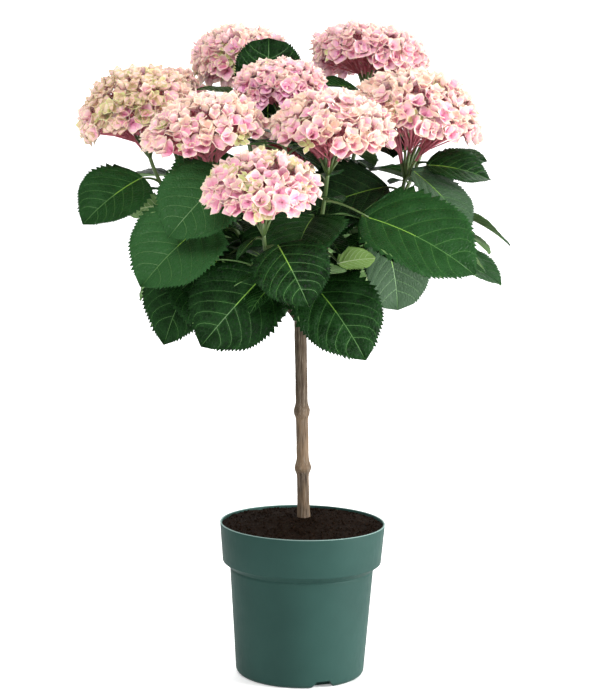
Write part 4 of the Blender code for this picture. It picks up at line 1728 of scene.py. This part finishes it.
@dataclass
class FloretMaker:
    """Makes one small mesh for each cup and flush, to be placed many times."""

    crown_cups: tuple[Cup, ...] = (Cup(40, 68, 0.0122, 0.0056), Cup(50, 86, 0.0132, 0.0054),
                                   Cup(30, 52, 0.0118, 0.0058), Cup(56, 76, 0.0134, 0.0052),
                                   Cup(20, 42, 0.0116, 0.0052))
    edge_cups: tuple[Cup, ...] = (Cup(30, 64, 0.0126, 0.0061), Cup(24, 54, 0.0122, 0.0061),
                                  Cup(38, 72, 0.0130, 0.0062))
    rows: tuple[float, ...] = (0.0, 0.30, 0.58, 0.82, 1.0)
    widths: tuple[float, ...] = (0.20, 0.80, 1.00, 0.62, 0.04)
    columns: tuple[float, ...] = (-1.0, -0.80, 0.0, 0.80, 1.0)
    claw_radius: float = 0.0008
    hollow: float = 0.30
    ruffle: float = 0.0006
    ruffles: float = 9
    flare: float = 0.0010
    flare_start: float = 0.6
    pair_step: float = 0.0007
    tints: list[Tint] = field(default_factory=lambda: list(Tint))
    made: dict[tuple[Cup, Flush], Mesh] = field(default_factory=dict)

    def spot(self, cup: Cup, row: int, column: int) -> Vector:
        """Point of a sepal that points along +X.

        Args:
            cup: How far it is open.
            row: Row from its claw.
            column: Column across it.

        Returns:
            The point.
        """
        along, across = self.rows[row], self.columns[column]
        claw, tip = math.radians(cup.claw), math.radians(cup.tip)
        slope = claw + (tip - claw) * along
        radius = cup.length / (tip - claw)
        out = self.claw_radius + radius * (math.sin(slope) - math.sin(claw))
        out += self.flare * smooth_step(self.flare_start, 1.0, along)
        height = radius * (math.cos(claw) - math.cos(slope))
        width = cup.half_width * self.widths[row]
        raised = self.hollow * width * across ** 2
        raised += self.ruffle * across * math.sin(self.ruffles * along)
        return Vector((out - raised * math.sin(slope), width * across,
                       height + raised * math.cos(slope)))

    def sepal(self, cup: Cup, flush: Flush) -> BMesh:
        """One sepal, its faces coloured in zones from its throat to its rim.

        Args:
            cup: How far it is open.
            flush: Its colours.

        Returns:
            The sepal.
        """
        steps, lanes = len(self.rows) - 1, len(self.columns) - 1
        bm = bmesh.new()
        bmesh.ops.create_grid(bm, x_segments=steps, y_segments=lanes, size=0.5)
        for face in bm.faces:
            middle = face.calc_center_median()
            zone = int((middle.x + 0.5) * steps)
            at_edge = abs(middle.y) > 0.5 - 1 / lanes and zone > 0
            face.material_index = self.tints.index(flush.value[-1 if at_edge else zone])
        for vert in bm.verts:
            vert.co = self.spot(cup, round((vert.co.x + 0.5) * steps),
                                round((vert.co.y + 0.5) * lanes))
        return bm

    def floret(self, cup: Cup, flush: Flush) -> Mesh:
        """Four sepals, facing +Z, two of them set a little higher.

        Args:
            cup: How far they are open.
            flush: Their colours.

        Returns:
            The mesh.
        """
        bm = bmesh.new()
        for quarter in range(4):
            sepal = self.sepal(cup, flush)
            turn = Matrix.Rotation(quarter * math.pi / 2, 4, "Z")
            step = Matrix.Translation((0.0, 0.0, self.pair_step * (quarter % 2)))
            bmesh.ops.transform(sepal, matrix=step @ turn, verts=sepal.verts)
            append(bm, sepal)
        return mesh_of("floret", bm)

    def get(self, cup: Cup, flush: Flush) -> Mesh:
        """The floret for a cup and a flush, made once.

        Args:
            cup: How far it is open.
            flush: Its colours.

        Returns:
            The mesh.
        """
        key = (cup, flush)
        if key not in self.made:
            self.made[key] = self.floret(cup, flush)
        return self.made[key]

    def finishes(self) -> list[Material]:
        """Materials of the petals' faces, and after them those of their backs."""
        return [tint.finish(back) for back in (False, True) for tint in self.tints]


@dataclass
class FlowerHead:
    """The florets of one head, and the branching stalks that carry them."""

    shoot: Shoot
    maker: FloretMaker
    rng: random.Random
    usual_spacing: float = 0.0140
    reach_per_skirt: float = 1750
    tuck: float = 0.6
    cover: float = 0.80
    domed: float = 0.55
    rays: int = 12
    ray_share: float = 0.36
    ray_polars: Pair = (60, 101)
    ray_swing: Pair = (-8, 4)
    ray_knees: Pair = (0.30, 0.55)
    ray_radii: Reach = (0.0018, 0.0016, 0.0012)
    twigs: int = 48
    twig_share: float = 0.62
    twig_reach: float = 6
    twig_jitter: float = 3.0
    twig_radii: Pair = (0.0010, 0.0008)
    fan: int = 230
    fan_top: float = 78
    fan_reach: float = 5
    fan_shares: Pair = (0.60, 0.84)
    fan_starts: Pair = (0.45, 1.0)
    fan_radii: Pair = (0.0007, 0.0009)
    pedicel_radii: Pair = (0.0007, 0.0006)
    depth: float = 0.0100
    bumps: float = 0.050
    bump_scale: float = 42
    jitter: float = 0.030
    wander: float = 1.8
    edge_polar: float = 98
    edge_mix: Pair = (0.55, 0.92)
    rise: Pair = (0.95, 0.10)
    tilt: float = 19.0
    tilt_share: float = 0.7
    sizes: Pair = (0.86, 1.16)
    bud_scale: float = 60
    bud_patch: float = 0.47
    bud: Cup = Cup(14, 36, 0.0110, 0.0038)
    thickness: float = 0.00022

    def reach(self) -> float:
        """Angle from the top down to which florets stand, in degrees."""
        return 90 + self.reach_per_skirt * self.shoot.skirt

    def crust(self, polar: float, turn: float) -> Vector:
        """Surface at which florets open: the dome, and the skirt under its rim.

        Args:
            polar: Angle from its top.
            turn: Turn round it.

        Returns:
            The point.
        """
        below = polar - math.pi / 2
        if below <= 0:
            return self.shoot.dome(polar, turn)
        level = self.shoot.half_sizes()[0] * math.cos(self.tuck * below)
        drop = self.shoot.skirt * below / math.radians(self.reach() - 90)
        return Vector((level * math.cos(turn), level * math.sin(turn), -drop))

    def count(self) -> int:
        """Florets that cover the head at their spacing.

        Returns:
            Their number.
        """
        wide, high = self.shoot.half_sizes()
        reach = 1 - math.cos(math.radians(self.reach()))
        area = math.tau * wide * (high * self.domed + wide * (1 - self.domed)) * reach
        return round(area / (self.cover * self.shoot.spacing ** 2))

    def spiral(self, count: int, reach: float, jitter: float) -> Iterator[Pair]:
        """Evenly spread points, from the top down.

        Args:
            count: Number of points.
            reach: Angle of the lowest, in degrees.
            jitter: Their unevenness, in degrees.

        Returns:
            Angle from the top and turn of each.
        """
        lowest = math.cos(math.radians(reach))
        for index in range(count):
            polar = math.acos(1 - (1 - lowest) * (index + 0.5) / count)
            turn = index * GOLDEN_TURN + math.radians(self.shoot.pair)
            yield (polar + math.radians(self.rng.gauss(0, jitter)),
                   turn + math.radians(self.rng.gauss(0, 2 * jitter)))

    def places(self) -> Iterator[tuple[Vector, Vector, float]]:
        """Places of the florets.

        Returns:
            Root and facing of each, and how near it is to the lower edge, from 0 to 1.
        """
        wide, high = self.shoot.half_sizes()
        seed = Vector((self.shoot.heading / 50, self.shoot.reach * 10, self.shoot.height))
        crown, edge = self.rise
        depth = self.depth * self.shoot.spacing / self.usual_spacing
        for polar, turn in self.spiral(self.count(), self.reach(), self.wander):
            low = min(1.0, polar / math.radians(self.edge_polar))
            point = self.crust(polar, turn)
            steep = point.z / (high if point.z > 0 else wide) ** 2
            facing = Vector((point.x / wide ** 2, point.y / wide ** 2, steep))
            facing = (facing.normalized() + (crown + (edge - crown) * low ** 2) * UP).normalized()
            lumps = self.bumps * noise.noise(point * self.bump_scale + 9 * seed)
            share = 1 + lumps + self.rng.uniform(-1, 1) * self.jitter
            yield point * share - facing * depth, facing, low

    def is_bud(self, root: Vector) -> bool:
        """Whether a floret is still a green bud, as they are in a few patches."""
        seed = Vector((self.shoot.height * 40, 0.0, self.shoot.heading))
        return noise.noise(root * self.bud_scale + seed) > self.bud_patch

    def pick(self, low: float, is_bud: bool) -> Mesh:
        """Choose a floret.

        Args:
            low: Place from the crown, 0, to the lower edge, 1.
            is_bud: Whether it is a bud.

        Returns:
            Its mesh.
        """
        if is_bud:
            return self.maker.get(self.bud, Flush.BUD)
        at_edge = self.rng.random() < smooth_step(*self.edge_mix, low)
        flushes = self.shoot.mood.value[at_edge]
        flush = self.rng.choices(list(flushes), weights=list(flushes.values()))[0]
        cups = self.maker.edge_cups if at_edge else self.maker.crown_cups
        return self.maker.get(self.rng.choice(cups), flush)

    def placed(self, root: Vector, facing: Vector) -> Matrix:
        """Put a floret on its root, tilted and turned a little at random.

        Args:
            root: The root.
            facing: Direction that it faces.

        Returns:
            The matrix.
        """
        aside = Vector([self.rng.gauss(0, math.tan(math.radians(self.tilt))) for _ in range(3)])
        turn = UP.rotation_difference((facing + aside * self.tilt_share).normalized())
        spin = Matrix.Rotation(self.rng.uniform(0, math.tau), 4, "Z")
        size = self.rng.uniform(*self.sizes) * self.shoot.spacing / self.usual_spacing
        return Matrix.Translation(root) @ turn.to_matrix().to_4x4() @ spin @ Matrix.Scale(size, 4)

    def nearest(self, spots: Sequence[Vector], end: Vector) -> Vector:
        """The nearest of some spots to a point."""
        return min(spots, key=lambda spot: (spot - end).length)

    def build(self) -> tuple[BMesh, BMesh]:
        """Petals of all the florets, and the stalks under them.

        Returns:
            Two bmeshes: the petals, in the slots of the petal finishes, and the stalks, whose
            slot 0 is green and slot 1 crimson.
        """
        petals, stalks = bmesh.new(), bmesh.new()
        place, hub = self.shoot.head_place(), self.shoot.point(self.shoot.HUB_SHARE)
        rays = []
        for i in range(self.rays):
            polar = math.radians(self.ray_polars[i % 2] + self.rng.uniform(*self.ray_swing))
            end = self.shoot.dome(polar, math.tau * i / self.rays, self.ray_share)
            rays.append(place @ end)
        thick, medium, thin = self.ray_radii
        for end in rays:
            knee = hub.lerp(end, self.rng.uniform(*self.ray_knees))
            straight_stalk(stalks, hub, knee, thick, medium, 6, 0)
            straight_stalk(stalks, knee, end, medium, thin, 6, 1)
        spread = self.spiral(self.twigs, self.reach() + self.twig_reach, self.twig_jitter)
        twigs = [place @ (self.crust(polar, turn) * self.twig_share)
                 for polar, turn in spread]
        for end in twigs:
            straight_stalk(stalks, self.nearest(rays, end), end, *self.twig_radii, 5, 1)
        for _ in range(self.fan):
            polar = math.radians(self.rng.uniform(self.fan_top, self.reach() + self.fan_reach))
            turn, share = self.rng.uniform(0, math.tau), self.rng.uniform(*self.fan_shares)
            end = place @ (self.crust(polar, turn) * share)
            start = hub.lerp(self.nearest(rays, end), self.rng.uniform(*self.fan_starts))
            straight_stalk(stalks, start, end, *self.fan_radii, 4, 1)
        for root, facing, low in self.places():
            mesh = self.pick(low, self.is_bud(root))
            petals.from_mesh(mesh)
            petals.verts.ensure_lookup_table()
            matrix = place @ self.placed(root, facing)
            for vert in petals.verts[-len(mesh.vertices):]:
                vert.co = matrix @ vert.co
            foot = place @ root
            straight_stalk(stalks, self.nearest(twigs, foot), foot, *self.pedicel_radii, 4, 1)
        return petals, stalks


@dataclass
class Crown:
    """All the boughs and shoots."""

    seed: int = 7
    maker: FloretMaker = field(default_factory=FloretMaker)
    cutter: LeafCutter = field(default_factory=LeafCutter)
    stem_sides: int = 9
    stem_steps: int = 22
    bough_sides: int = 20
    bough_steps: int = 44
    bough_waves: Pair = (2.6, 90)
    bough_relief: float = 0.00025
    petiole_sides: int = 7
    petiole_steps: int = 8
    petiole_radii: Pair = (0.0017, 0.0011)
    petiole_end: Pair = (0.06, -0.0006)

    def relief(self, middle: Vector, turn: float) -> float:
        """Extra radius of a bough's bark at a ring's middle and a turn round it."""
        return self.bough_relief * bark_noise(turn, middle.length, self.bough_waves)

    def build_boughs(self, bark: Material) -> None:
        """Model the woody boughs, one piece each.

        Args:
            bark: Their material.
        """
        for shoot in SHOOTS:
            bm = wrapped_limb(shoot.line(0.0, shoot.BOUGH_SHARE, self.bough_steps),
                              shoot.bough_radii(self.bough_steps), self.bough_sides,
                              self.relief, shoot.start()[1])
            dress(shoot.name + "_bough_bark", bm, [bark], [shoot.name + "_bough"], "bark")

    def stems(self, shoot: Shoot, leaves: Sequence[Leaf], stalks: BMesh) -> BMesh:
        """Add the green stem and the leaves' stalks to the head's stalks.

        Args:
            shoot: The shoot.
            leaves: Its leaves.
            stalks: The head's stalks.

        Returns:
            All the stalks.
        """
        line = shoot.line(shoot.stem_start(), 1.0, self.stem_steps)
        append(stalks, wrapped_limb(line, shoot.stem_radii(self.stem_steps), self.stem_sides), 0)
        thick, thin = self.petiole_radii
        for leaf in leaves:
            start, middle, end = shoot.petiole_line(leaf)
            share, sink = self.petiole_end
            inside = leaf.place(end) @ leaf.spot(share, 0.0, sink)
            bow = 2 * middle - (start + inside) / 2
            points, radii = [], []
            for share in (i / self.petiole_steps for i in range(self.petiole_steps + 1)):
                points.append((1 - share) ** 2 * start + 2 * (1 - share) * share * bow
                              + share ** 2 * inside)
                radii.append(thick + (thin - thick) * share)
            append(stalks, wrapped_limb(points, radii, self.petiole_sides), 0)
        return stalks

    def build_shoot(self, shoot: Shoot, leaves: Sequence[Leaf], petal_finishes: Materials,
                    leaf_finishes: Materials, stalk_finishes: Materials) -> None:
        """Model one shoot: its petals, its stalks and its leaves.

        Args:
            shoot: The shoot.
            leaves: Its leaves.
            petal_finishes: Materials of its petals.
            leaf_finishes: Materials of its leaves.
            stalk_finishes: Materials of its stalks.
        """
        rng = random.Random(f"{self.seed} {shoot.name}")
        node, slot = shoot.name + "_shoot", "flower_and_leaf"
        head = FlowerHead(shoot, self.maker, rng)
        petals, stalks = head.build()
        piece = dress(shoot.name + "_petals", petals, petal_finishes, [node], slot)
        self.thicken(piece, head.thickness, len(self.maker.tints))
        dress(shoot.name + "_stalks", self.stems(shoot, leaves, stalks), stalk_finishes, [node],
              slot)
        blades = bmesh.new()
        for leaf in leaves:
            append(blades, self.cutter.blade(leaf, shoot.petiole_line(leaf)[-1], rng))
        piece = dress(shoot.name + "_leaves", blades, leaf_finishes, [node], slot)
        self.thicken(piece, self.cutter.grid.thickness, len(leaf_finishes) // 2)

    def thicken(self, piece: Object, thickness: float, backs: int) -> None:
        """Give sheets a back.

        Args:
            piece: The sheets.
            thickness: Their thickness.
            backs: How many slots later the backs' materials come.
        """
        wall = piece.modifiers.new("wall", "SOLIDIFY")
        wall.thickness = thickness
        wall.offset = -1.0
        wall.material_offset = backs
        wall.use_quality_normals = True

    def build(self, bark: Material) -> None:
        """Model all the pieces of the crown.

        Args:
            bark: Material of the boughs.
        """
        self.build_boughs(bark)
        petal_finishes = self.maker.finishes()
        leaf_finishes = [skin.build() for skin in LEAF_SKINS]
        stalk_finishes = [skin.build() for skin in STALK_SKINS]
        leaves = Settler().place()
        log.info("%d leaves settled", sum(len(own) for own in leaves.values()))
        for shoot in SHOOTS:
            self.build_shoot(shoot, leaves[shoot.name], petal_finishes, leaf_finishes,
                             stalk_finishes)


# ---- pot and soil

@dataclass(frozen=True)
class Pot:
    """The thin-walled pot with a wide band at its rim and notches in its foot."""

    sides: int = 180
    height: float = 0.1772
    rim_radius: float = 0.095
    band_foot: float = 0.1322
    band_radius: float = 0.0912
    neck: float = 0.1254
    neck_radius: float = 0.0825
    base_radius: float = 0.0742
    edge: float = 0.0070
    wall: float = 0.0019
    floor: float = 0.0105
    notch_count: int = 3
    notch_turn: float = -68.5
    notch_foot: float = 0.042
    notch_top: float = 0.016
    notch_height: float = 0.0085
    groove: float = 0.0009
    notch_depth: float = 0.016
    round_edge: float = 0.0007
    bevel_angle: float = 20
    sharp_angle: float = 32

    def profile(self) -> list[Pair]:
        """Outline of the pot.

        Returns:
            Corners from the middle of the underside, round the rim, to the inner floor.
        """
        edge = [(self.base_radius - self.edge * (1 - math.sin(turn)),
                 self.edge * (1 - math.cos(turn)))
                for turn in (math.radians(step) for step in range(0, 91, 10))]
        outside = [(self.neck_radius, self.neck - 3 * self.groove),
                   (self.neck_radius - self.groove, self.neck - self.groove),
                   (self.neck_radius, self.neck), (self.band_radius, self.band_foot),
                   (self.rim_radius, self.height), (self.rim_radius - self.wall, self.height)]
        return [(0.0, 0.0)] + edge + outside + self.inner_wall()[::-1] + [(0.0, self.floor)]

    def inner_wall(self, gap: float = 0.0) -> list[Pair]:
        """Outline of the inner wall from the floor to the foot of the band.

        Args:
            gap: Clear space inside it.

        Returns:
            Its corners.
        """
        taper = (self.neck_radius - self.base_radius) * self.floor / self.neck
        step = (self.rim_radius - self.band_radius) * self.wall / (self.height - self.band_foot)
        corners = ((self.base_radius + taper, self.floor),
                   (self.neck_radius, self.neck + self.wall),
                   (self.band_radius + step, self.band_foot + self.wall))
        return [(radius - self.wall - 2 * gap, height + gap) for radius, height in corners]

    def cutter(self) -> Object:
        """The tapering notches, as one cutter.

        Returns:
            The cutter.
        """
        bm = bmesh.new()
        for index in range(self.notch_count):
            cube = bmesh.ops.create_cube(bm, size=1.0)["verts"]
            for vert in cube:
                width = self.notch_top if vert.co.z > 0 else self.notch_foot
                height = self.notch_height if vert.co.z > 0 else -self.notch_height
                reach = self.base_radius + self.notch_depth * (0.5 if vert.co.x > 0 else -1)
                vert.co = Vector((reach, vert.co.y * width, height))
            turn = math.radians(self.notch_turn + index * 360 / self.notch_count)
            bmesh.ops.rotate(bm, verts=cube, cent=(0, 0, 0), matrix=Matrix.Rotation(turn, 3, "Z"))
        return put("notches", mesh_of("notches", bm))

    def build(self) -> Object:
        """Model the pot, its edges rounded and its notches cut.

        Returns:
            The piece.
        """
        bm = turned(self.profile(), self.sides)
        least = math.radians(self.bevel_angle)
        sharp = [edge for edge in bm.edges
                 if len(edge.link_faces) == 2 and edge.calc_face_angle() > least]
        bmesh.ops.bevel(bm, geom=sharp, affect="EDGES", offset=self.round_edge, segments=3,
                        profile=0.5, material=-1)
        pot = dress("pot_shell", bm, [PotPlastic().build()], ["pot"], "pot_plastic")
        cutter = self.cutter()
        cut = pot.modifiers.new("cut", "BOOLEAN")
        cut.operation = "DIFFERENCE"
        cut.object = cutter
        graph = bpy.context.evaluated_depsgraph_get()
        mesh = bpy.data.meshes.new_from_object(pot.evaluated_get(graph))
        pot.modifiers.clear()
        pot.data = mesh
        mesh.shade_smooth()
        mesh.set_sharp_from_angle(angle=math.radians(self.sharp_angle))
        bpy.data.objects.remove(cutter, do_unlink=True)
        return pot


@dataclass(frozen=True)
class Soil:
    """The mounded peat, with loose crumbs on it."""

    pot: Pot
    edge_height: float = 0.1752
    top: float = 0.1805
    rings: int = 64
    sides: int = 200
    flat_radius: float = 0.015
    lumps: tuple[Pair, ...] = ((70, 0.0014), (240, 0.0011))
    grit: Pair = (620, 0.0012)
    crumbs: int = 1300
    crumb_sizes: Pair = (0.0005, 0.0021)
    crumb_gap: float = 0.002
    squashes: tuple[Pair, Pair] = ((0.5, 1.0), (0.4, 0.9))
    seed: int = 3

    def surface(self, radius: float) -> float:
        """Height of the smooth mound at a radius."""
        share = 1 - smooth_step(self.flat_radius, self.edge_radius(), radius)
        return self.edge_height + (self.top - self.edge_height) * share

    def edge_radius(self) -> float:
        """Radius at which the soil meets the wall.

        Returns:
            The radius.
        """
        share = (self.edge_height - self.pot.band_foot) / (self.pot.height - self.pot.band_foot)
        outside = self.pot.band_radius + (self.pot.rim_radius - self.pot.band_radius) * share
        return outside - self.pot.wall - 2 * GAP

    def rough(self, point: Vector) -> float:
        """Relief of the crumbly surface.

        Args:
            point: Point of the smooth mound.

        Returns:
            Height above it.
        """
        scale, depth = self.grit
        lumps = sum(height * noise.noise(point * size) for size, height in self.lumps)
        return lumps + depth * abs(noise.noise(point * scale)) - depth

    def build(self) -> Object:
        """Model the soil.

        Returns:
            The piece.
        """
        reach = self.edge_radius()
        wall = [(0.0, self.pot.floor + GAP), *self.pot.inner_wall(GAP)]
        top = [(reach * (1 - step / self.rings), self.edge_height)
               for step in range(self.rings + 1)]
        bm = turned(wall + top, self.sides)
        for vert in bm.verts:
            radius = Vector((vert.co.x, vert.co.y)).length
            if vert.co.z > self.edge_height - GAP:
                vert.co.z = self.surface(radius) + self.rough(vert.co)
        self.scatter(bm, reach)
        return dress("soil_surface", bm, [Peat().build()], ["soil"], "soil")

    def scatter(self, bm: BMesh, reach: float) -> None:
        """Add loose crumbs of uneven shape, most of them small.

        Args:
            bm: The soil.
            reach: Radius that they keep to.
        """
        rng = random.Random(self.seed)
        small, large = self.crumb_sizes
        for _ in range(self.crumbs):
            radius = (reach - self.crumb_gap) * math.sqrt(rng.random())
            turn = rng.uniform(0, math.tau)
            size = small + (large - small) * rng.random() ** 3
            spot = Vector((radius * math.cos(turn), radius * math.sin(turn), self.surface(radius)))
            spin = Matrix.Rotation(rng.uniform(0, math.tau), 4, Vector((rng.random(), 1, 0.5)))
            flat = (rng.uniform(*squash) for squash in self.squashes)
            squash = Matrix.Diagonal((1.0, *flat, 1.0))
            bmesh.ops.create_icosphere(bm, subdivisions=1, radius=size,
                                       matrix=Matrix.Translation(spot) @ spin @ squash)


# ---- studio

@dataclass(frozen=True)
class SoftBox:
    """A square area light: its place, the point it is aimed at, its size and its power."""

    name: str
    place: Reach
    aim: Reach
    size: float
    power: float
    spread: float = 180.0

    def build(self) -> None:
        """Hang the light in its place."""
        light = bpy.data.lights.new(self.name, "AREA")
        light.size = self.size
        light.energy = self.power
        light.spread = math.radians(self.spread)
        box = put(self.name, light)
        away = Vector(self.place) - Vector(self.aim)
        box.location = self.place
        box.rotation_euler = away.to_track_quat("Z", "Y").to_euler()


@dataclass(frozen=True)
class Studio:
    """Pale floor that curves up into a backdrop, soft lights and the camera."""

    half_width: float = 6.0
    front: float = -6.0
    curve_start: float = 3.6
    curve_radius: float = 1.2
    curve_steps: int = 16
    top: float = 5.0
    colour: Colour = (0.84, 0.84, 0.84)
    glow: Pair = (0.28, 0.85)
    glow_places: Pair = (0.2, 2.0)
    ambient: float = 0.42
    lights: tuple[SoftBox, ...] = (
        SoftBox("key", (2.3, -0.8, 1.20), (0.0, 0.0, 0.35), 1.0, 80),
        SoftBox("fill", (-0.7, -2.3, 2.0), (0.0, 0.0, 0.65), 1.2, 58),
        SoftBox("low_key", (1.7, -0.35, 0.30), (0.0, 0.0, 0.09), 0.5, 1.6, 40.0),
        SoftBox("top", (0.1, 1.5, 2.2), (0.0, 0.0, 0.60), 1.5, 44))
    camera_place: Reach = (-0.00666, -2.4795, 0.7266)
    pitch: float = 8.03
    roll: float = 1.09
    sensor: float = 36
    focal_pixels: float = 2200
    frame_pixels: float = 700

    def backdrop_line(self) -> list[Pair]:
        """Outline of the floor and the backdrop, seen from the side."""
        curve = [(self.curve_start + self.curve_radius * math.sin(turn),
                  self.curve_radius * (1 - math.cos(turn)))
                 for turn in (math.pi / 2 * step / self.curve_steps
                              for step in range(self.curve_steps + 1))]
        return [(self.front, 0.0)] + curve + [(self.curve_start + self.curve_radius, self.top)]

    def build_floor(self) -> None:
        """The pale floor and the backdrop, in one sweep."""
        bm = bmesh.new()
        verts = [bm.verts.new((-self.half_width, y, z)) for y, z in self.backdrop_line()]
        edges = [bm.edges.new(pair) for pair in zip(verts, verts[1:])]
        swept = bmesh.ops.extrude_edge_only(bm, edges=edges)["geom"]
        moved = [item for item in swept if isinstance(item, bmesh.types.BMVert)]
        bmesh.ops.translate(bm, verts=moved, vec=(2 * self.half_width, 0, 0))
        bmesh.ops.recalc_face_normals(bm, faces=bm.faces)
        mesh = mesh_of("backdrop", bm)
        mesh.shade_smooth()
        wiring = Wiring("studio_white")
        wiring.set(base_color=(*self.colour, 1.0), roughness=0.9, emission_color=[1.0] * 4)
        glow = wiring.span(wiring.along("Y"), *self.glow_places, *self.glow)
        wiring.join(glow, wiring.shader.inputs["Emission Strength"])
        mesh.materials.append(wiring.material)
        put("backdrop", mesh)

    def build_world(self) -> None:
        """Soft white surroundings."""
        world = bpy.data.worlds.new("studio")
        bpy.context.scene.world = world
        world.use_nodes = True
        back = world.node_tree.nodes["Background"]
        back.inputs["Color"].default_value = (1.0, 1.0, 1.0, 1.0)
        back.inputs["Strength"].default_value = self.ambient

    def build_camera(self) -> None:
        """The camera, at the height and tilt of a product shot."""
        camera = bpy.data.cameras.new("camera")
        camera.sensor_width = self.sensor
        camera.lens = self.sensor * self.focal_pixels / self.frame_pixels
        eye = put("camera", camera)
        place = (Matrix.Rotation(math.radians(90 - self.pitch), 4, "X")
                 @ Matrix.Rotation(math.radians(self.roll), 4, "Z"))
        place.translation = Vector(self.camera_place)
        eye.matrix_world = place
        bpy.context.scene.camera = eye

    def build(self) -> None:
        """Everything round the plant."""
        self.build_floor()
        self.build_world()
        for light in self.lights:
            light.build()
        self.build_camera()
        bpy.context.scene.view_settings.view_transform = "Standard"


def main() -> None:
    """Build the plant, its pot and the studio."""
    logging.basicConfig(level=logging.INFO, format="%(message)s")
    Studio().build()
    pot = Pot()
    pot.build()
    Soil(pot).build()
    bark = Bark().build()
    TRUNK.build(bark)
    Crown().build(bark)


if __name__ == "__main__":
    main()
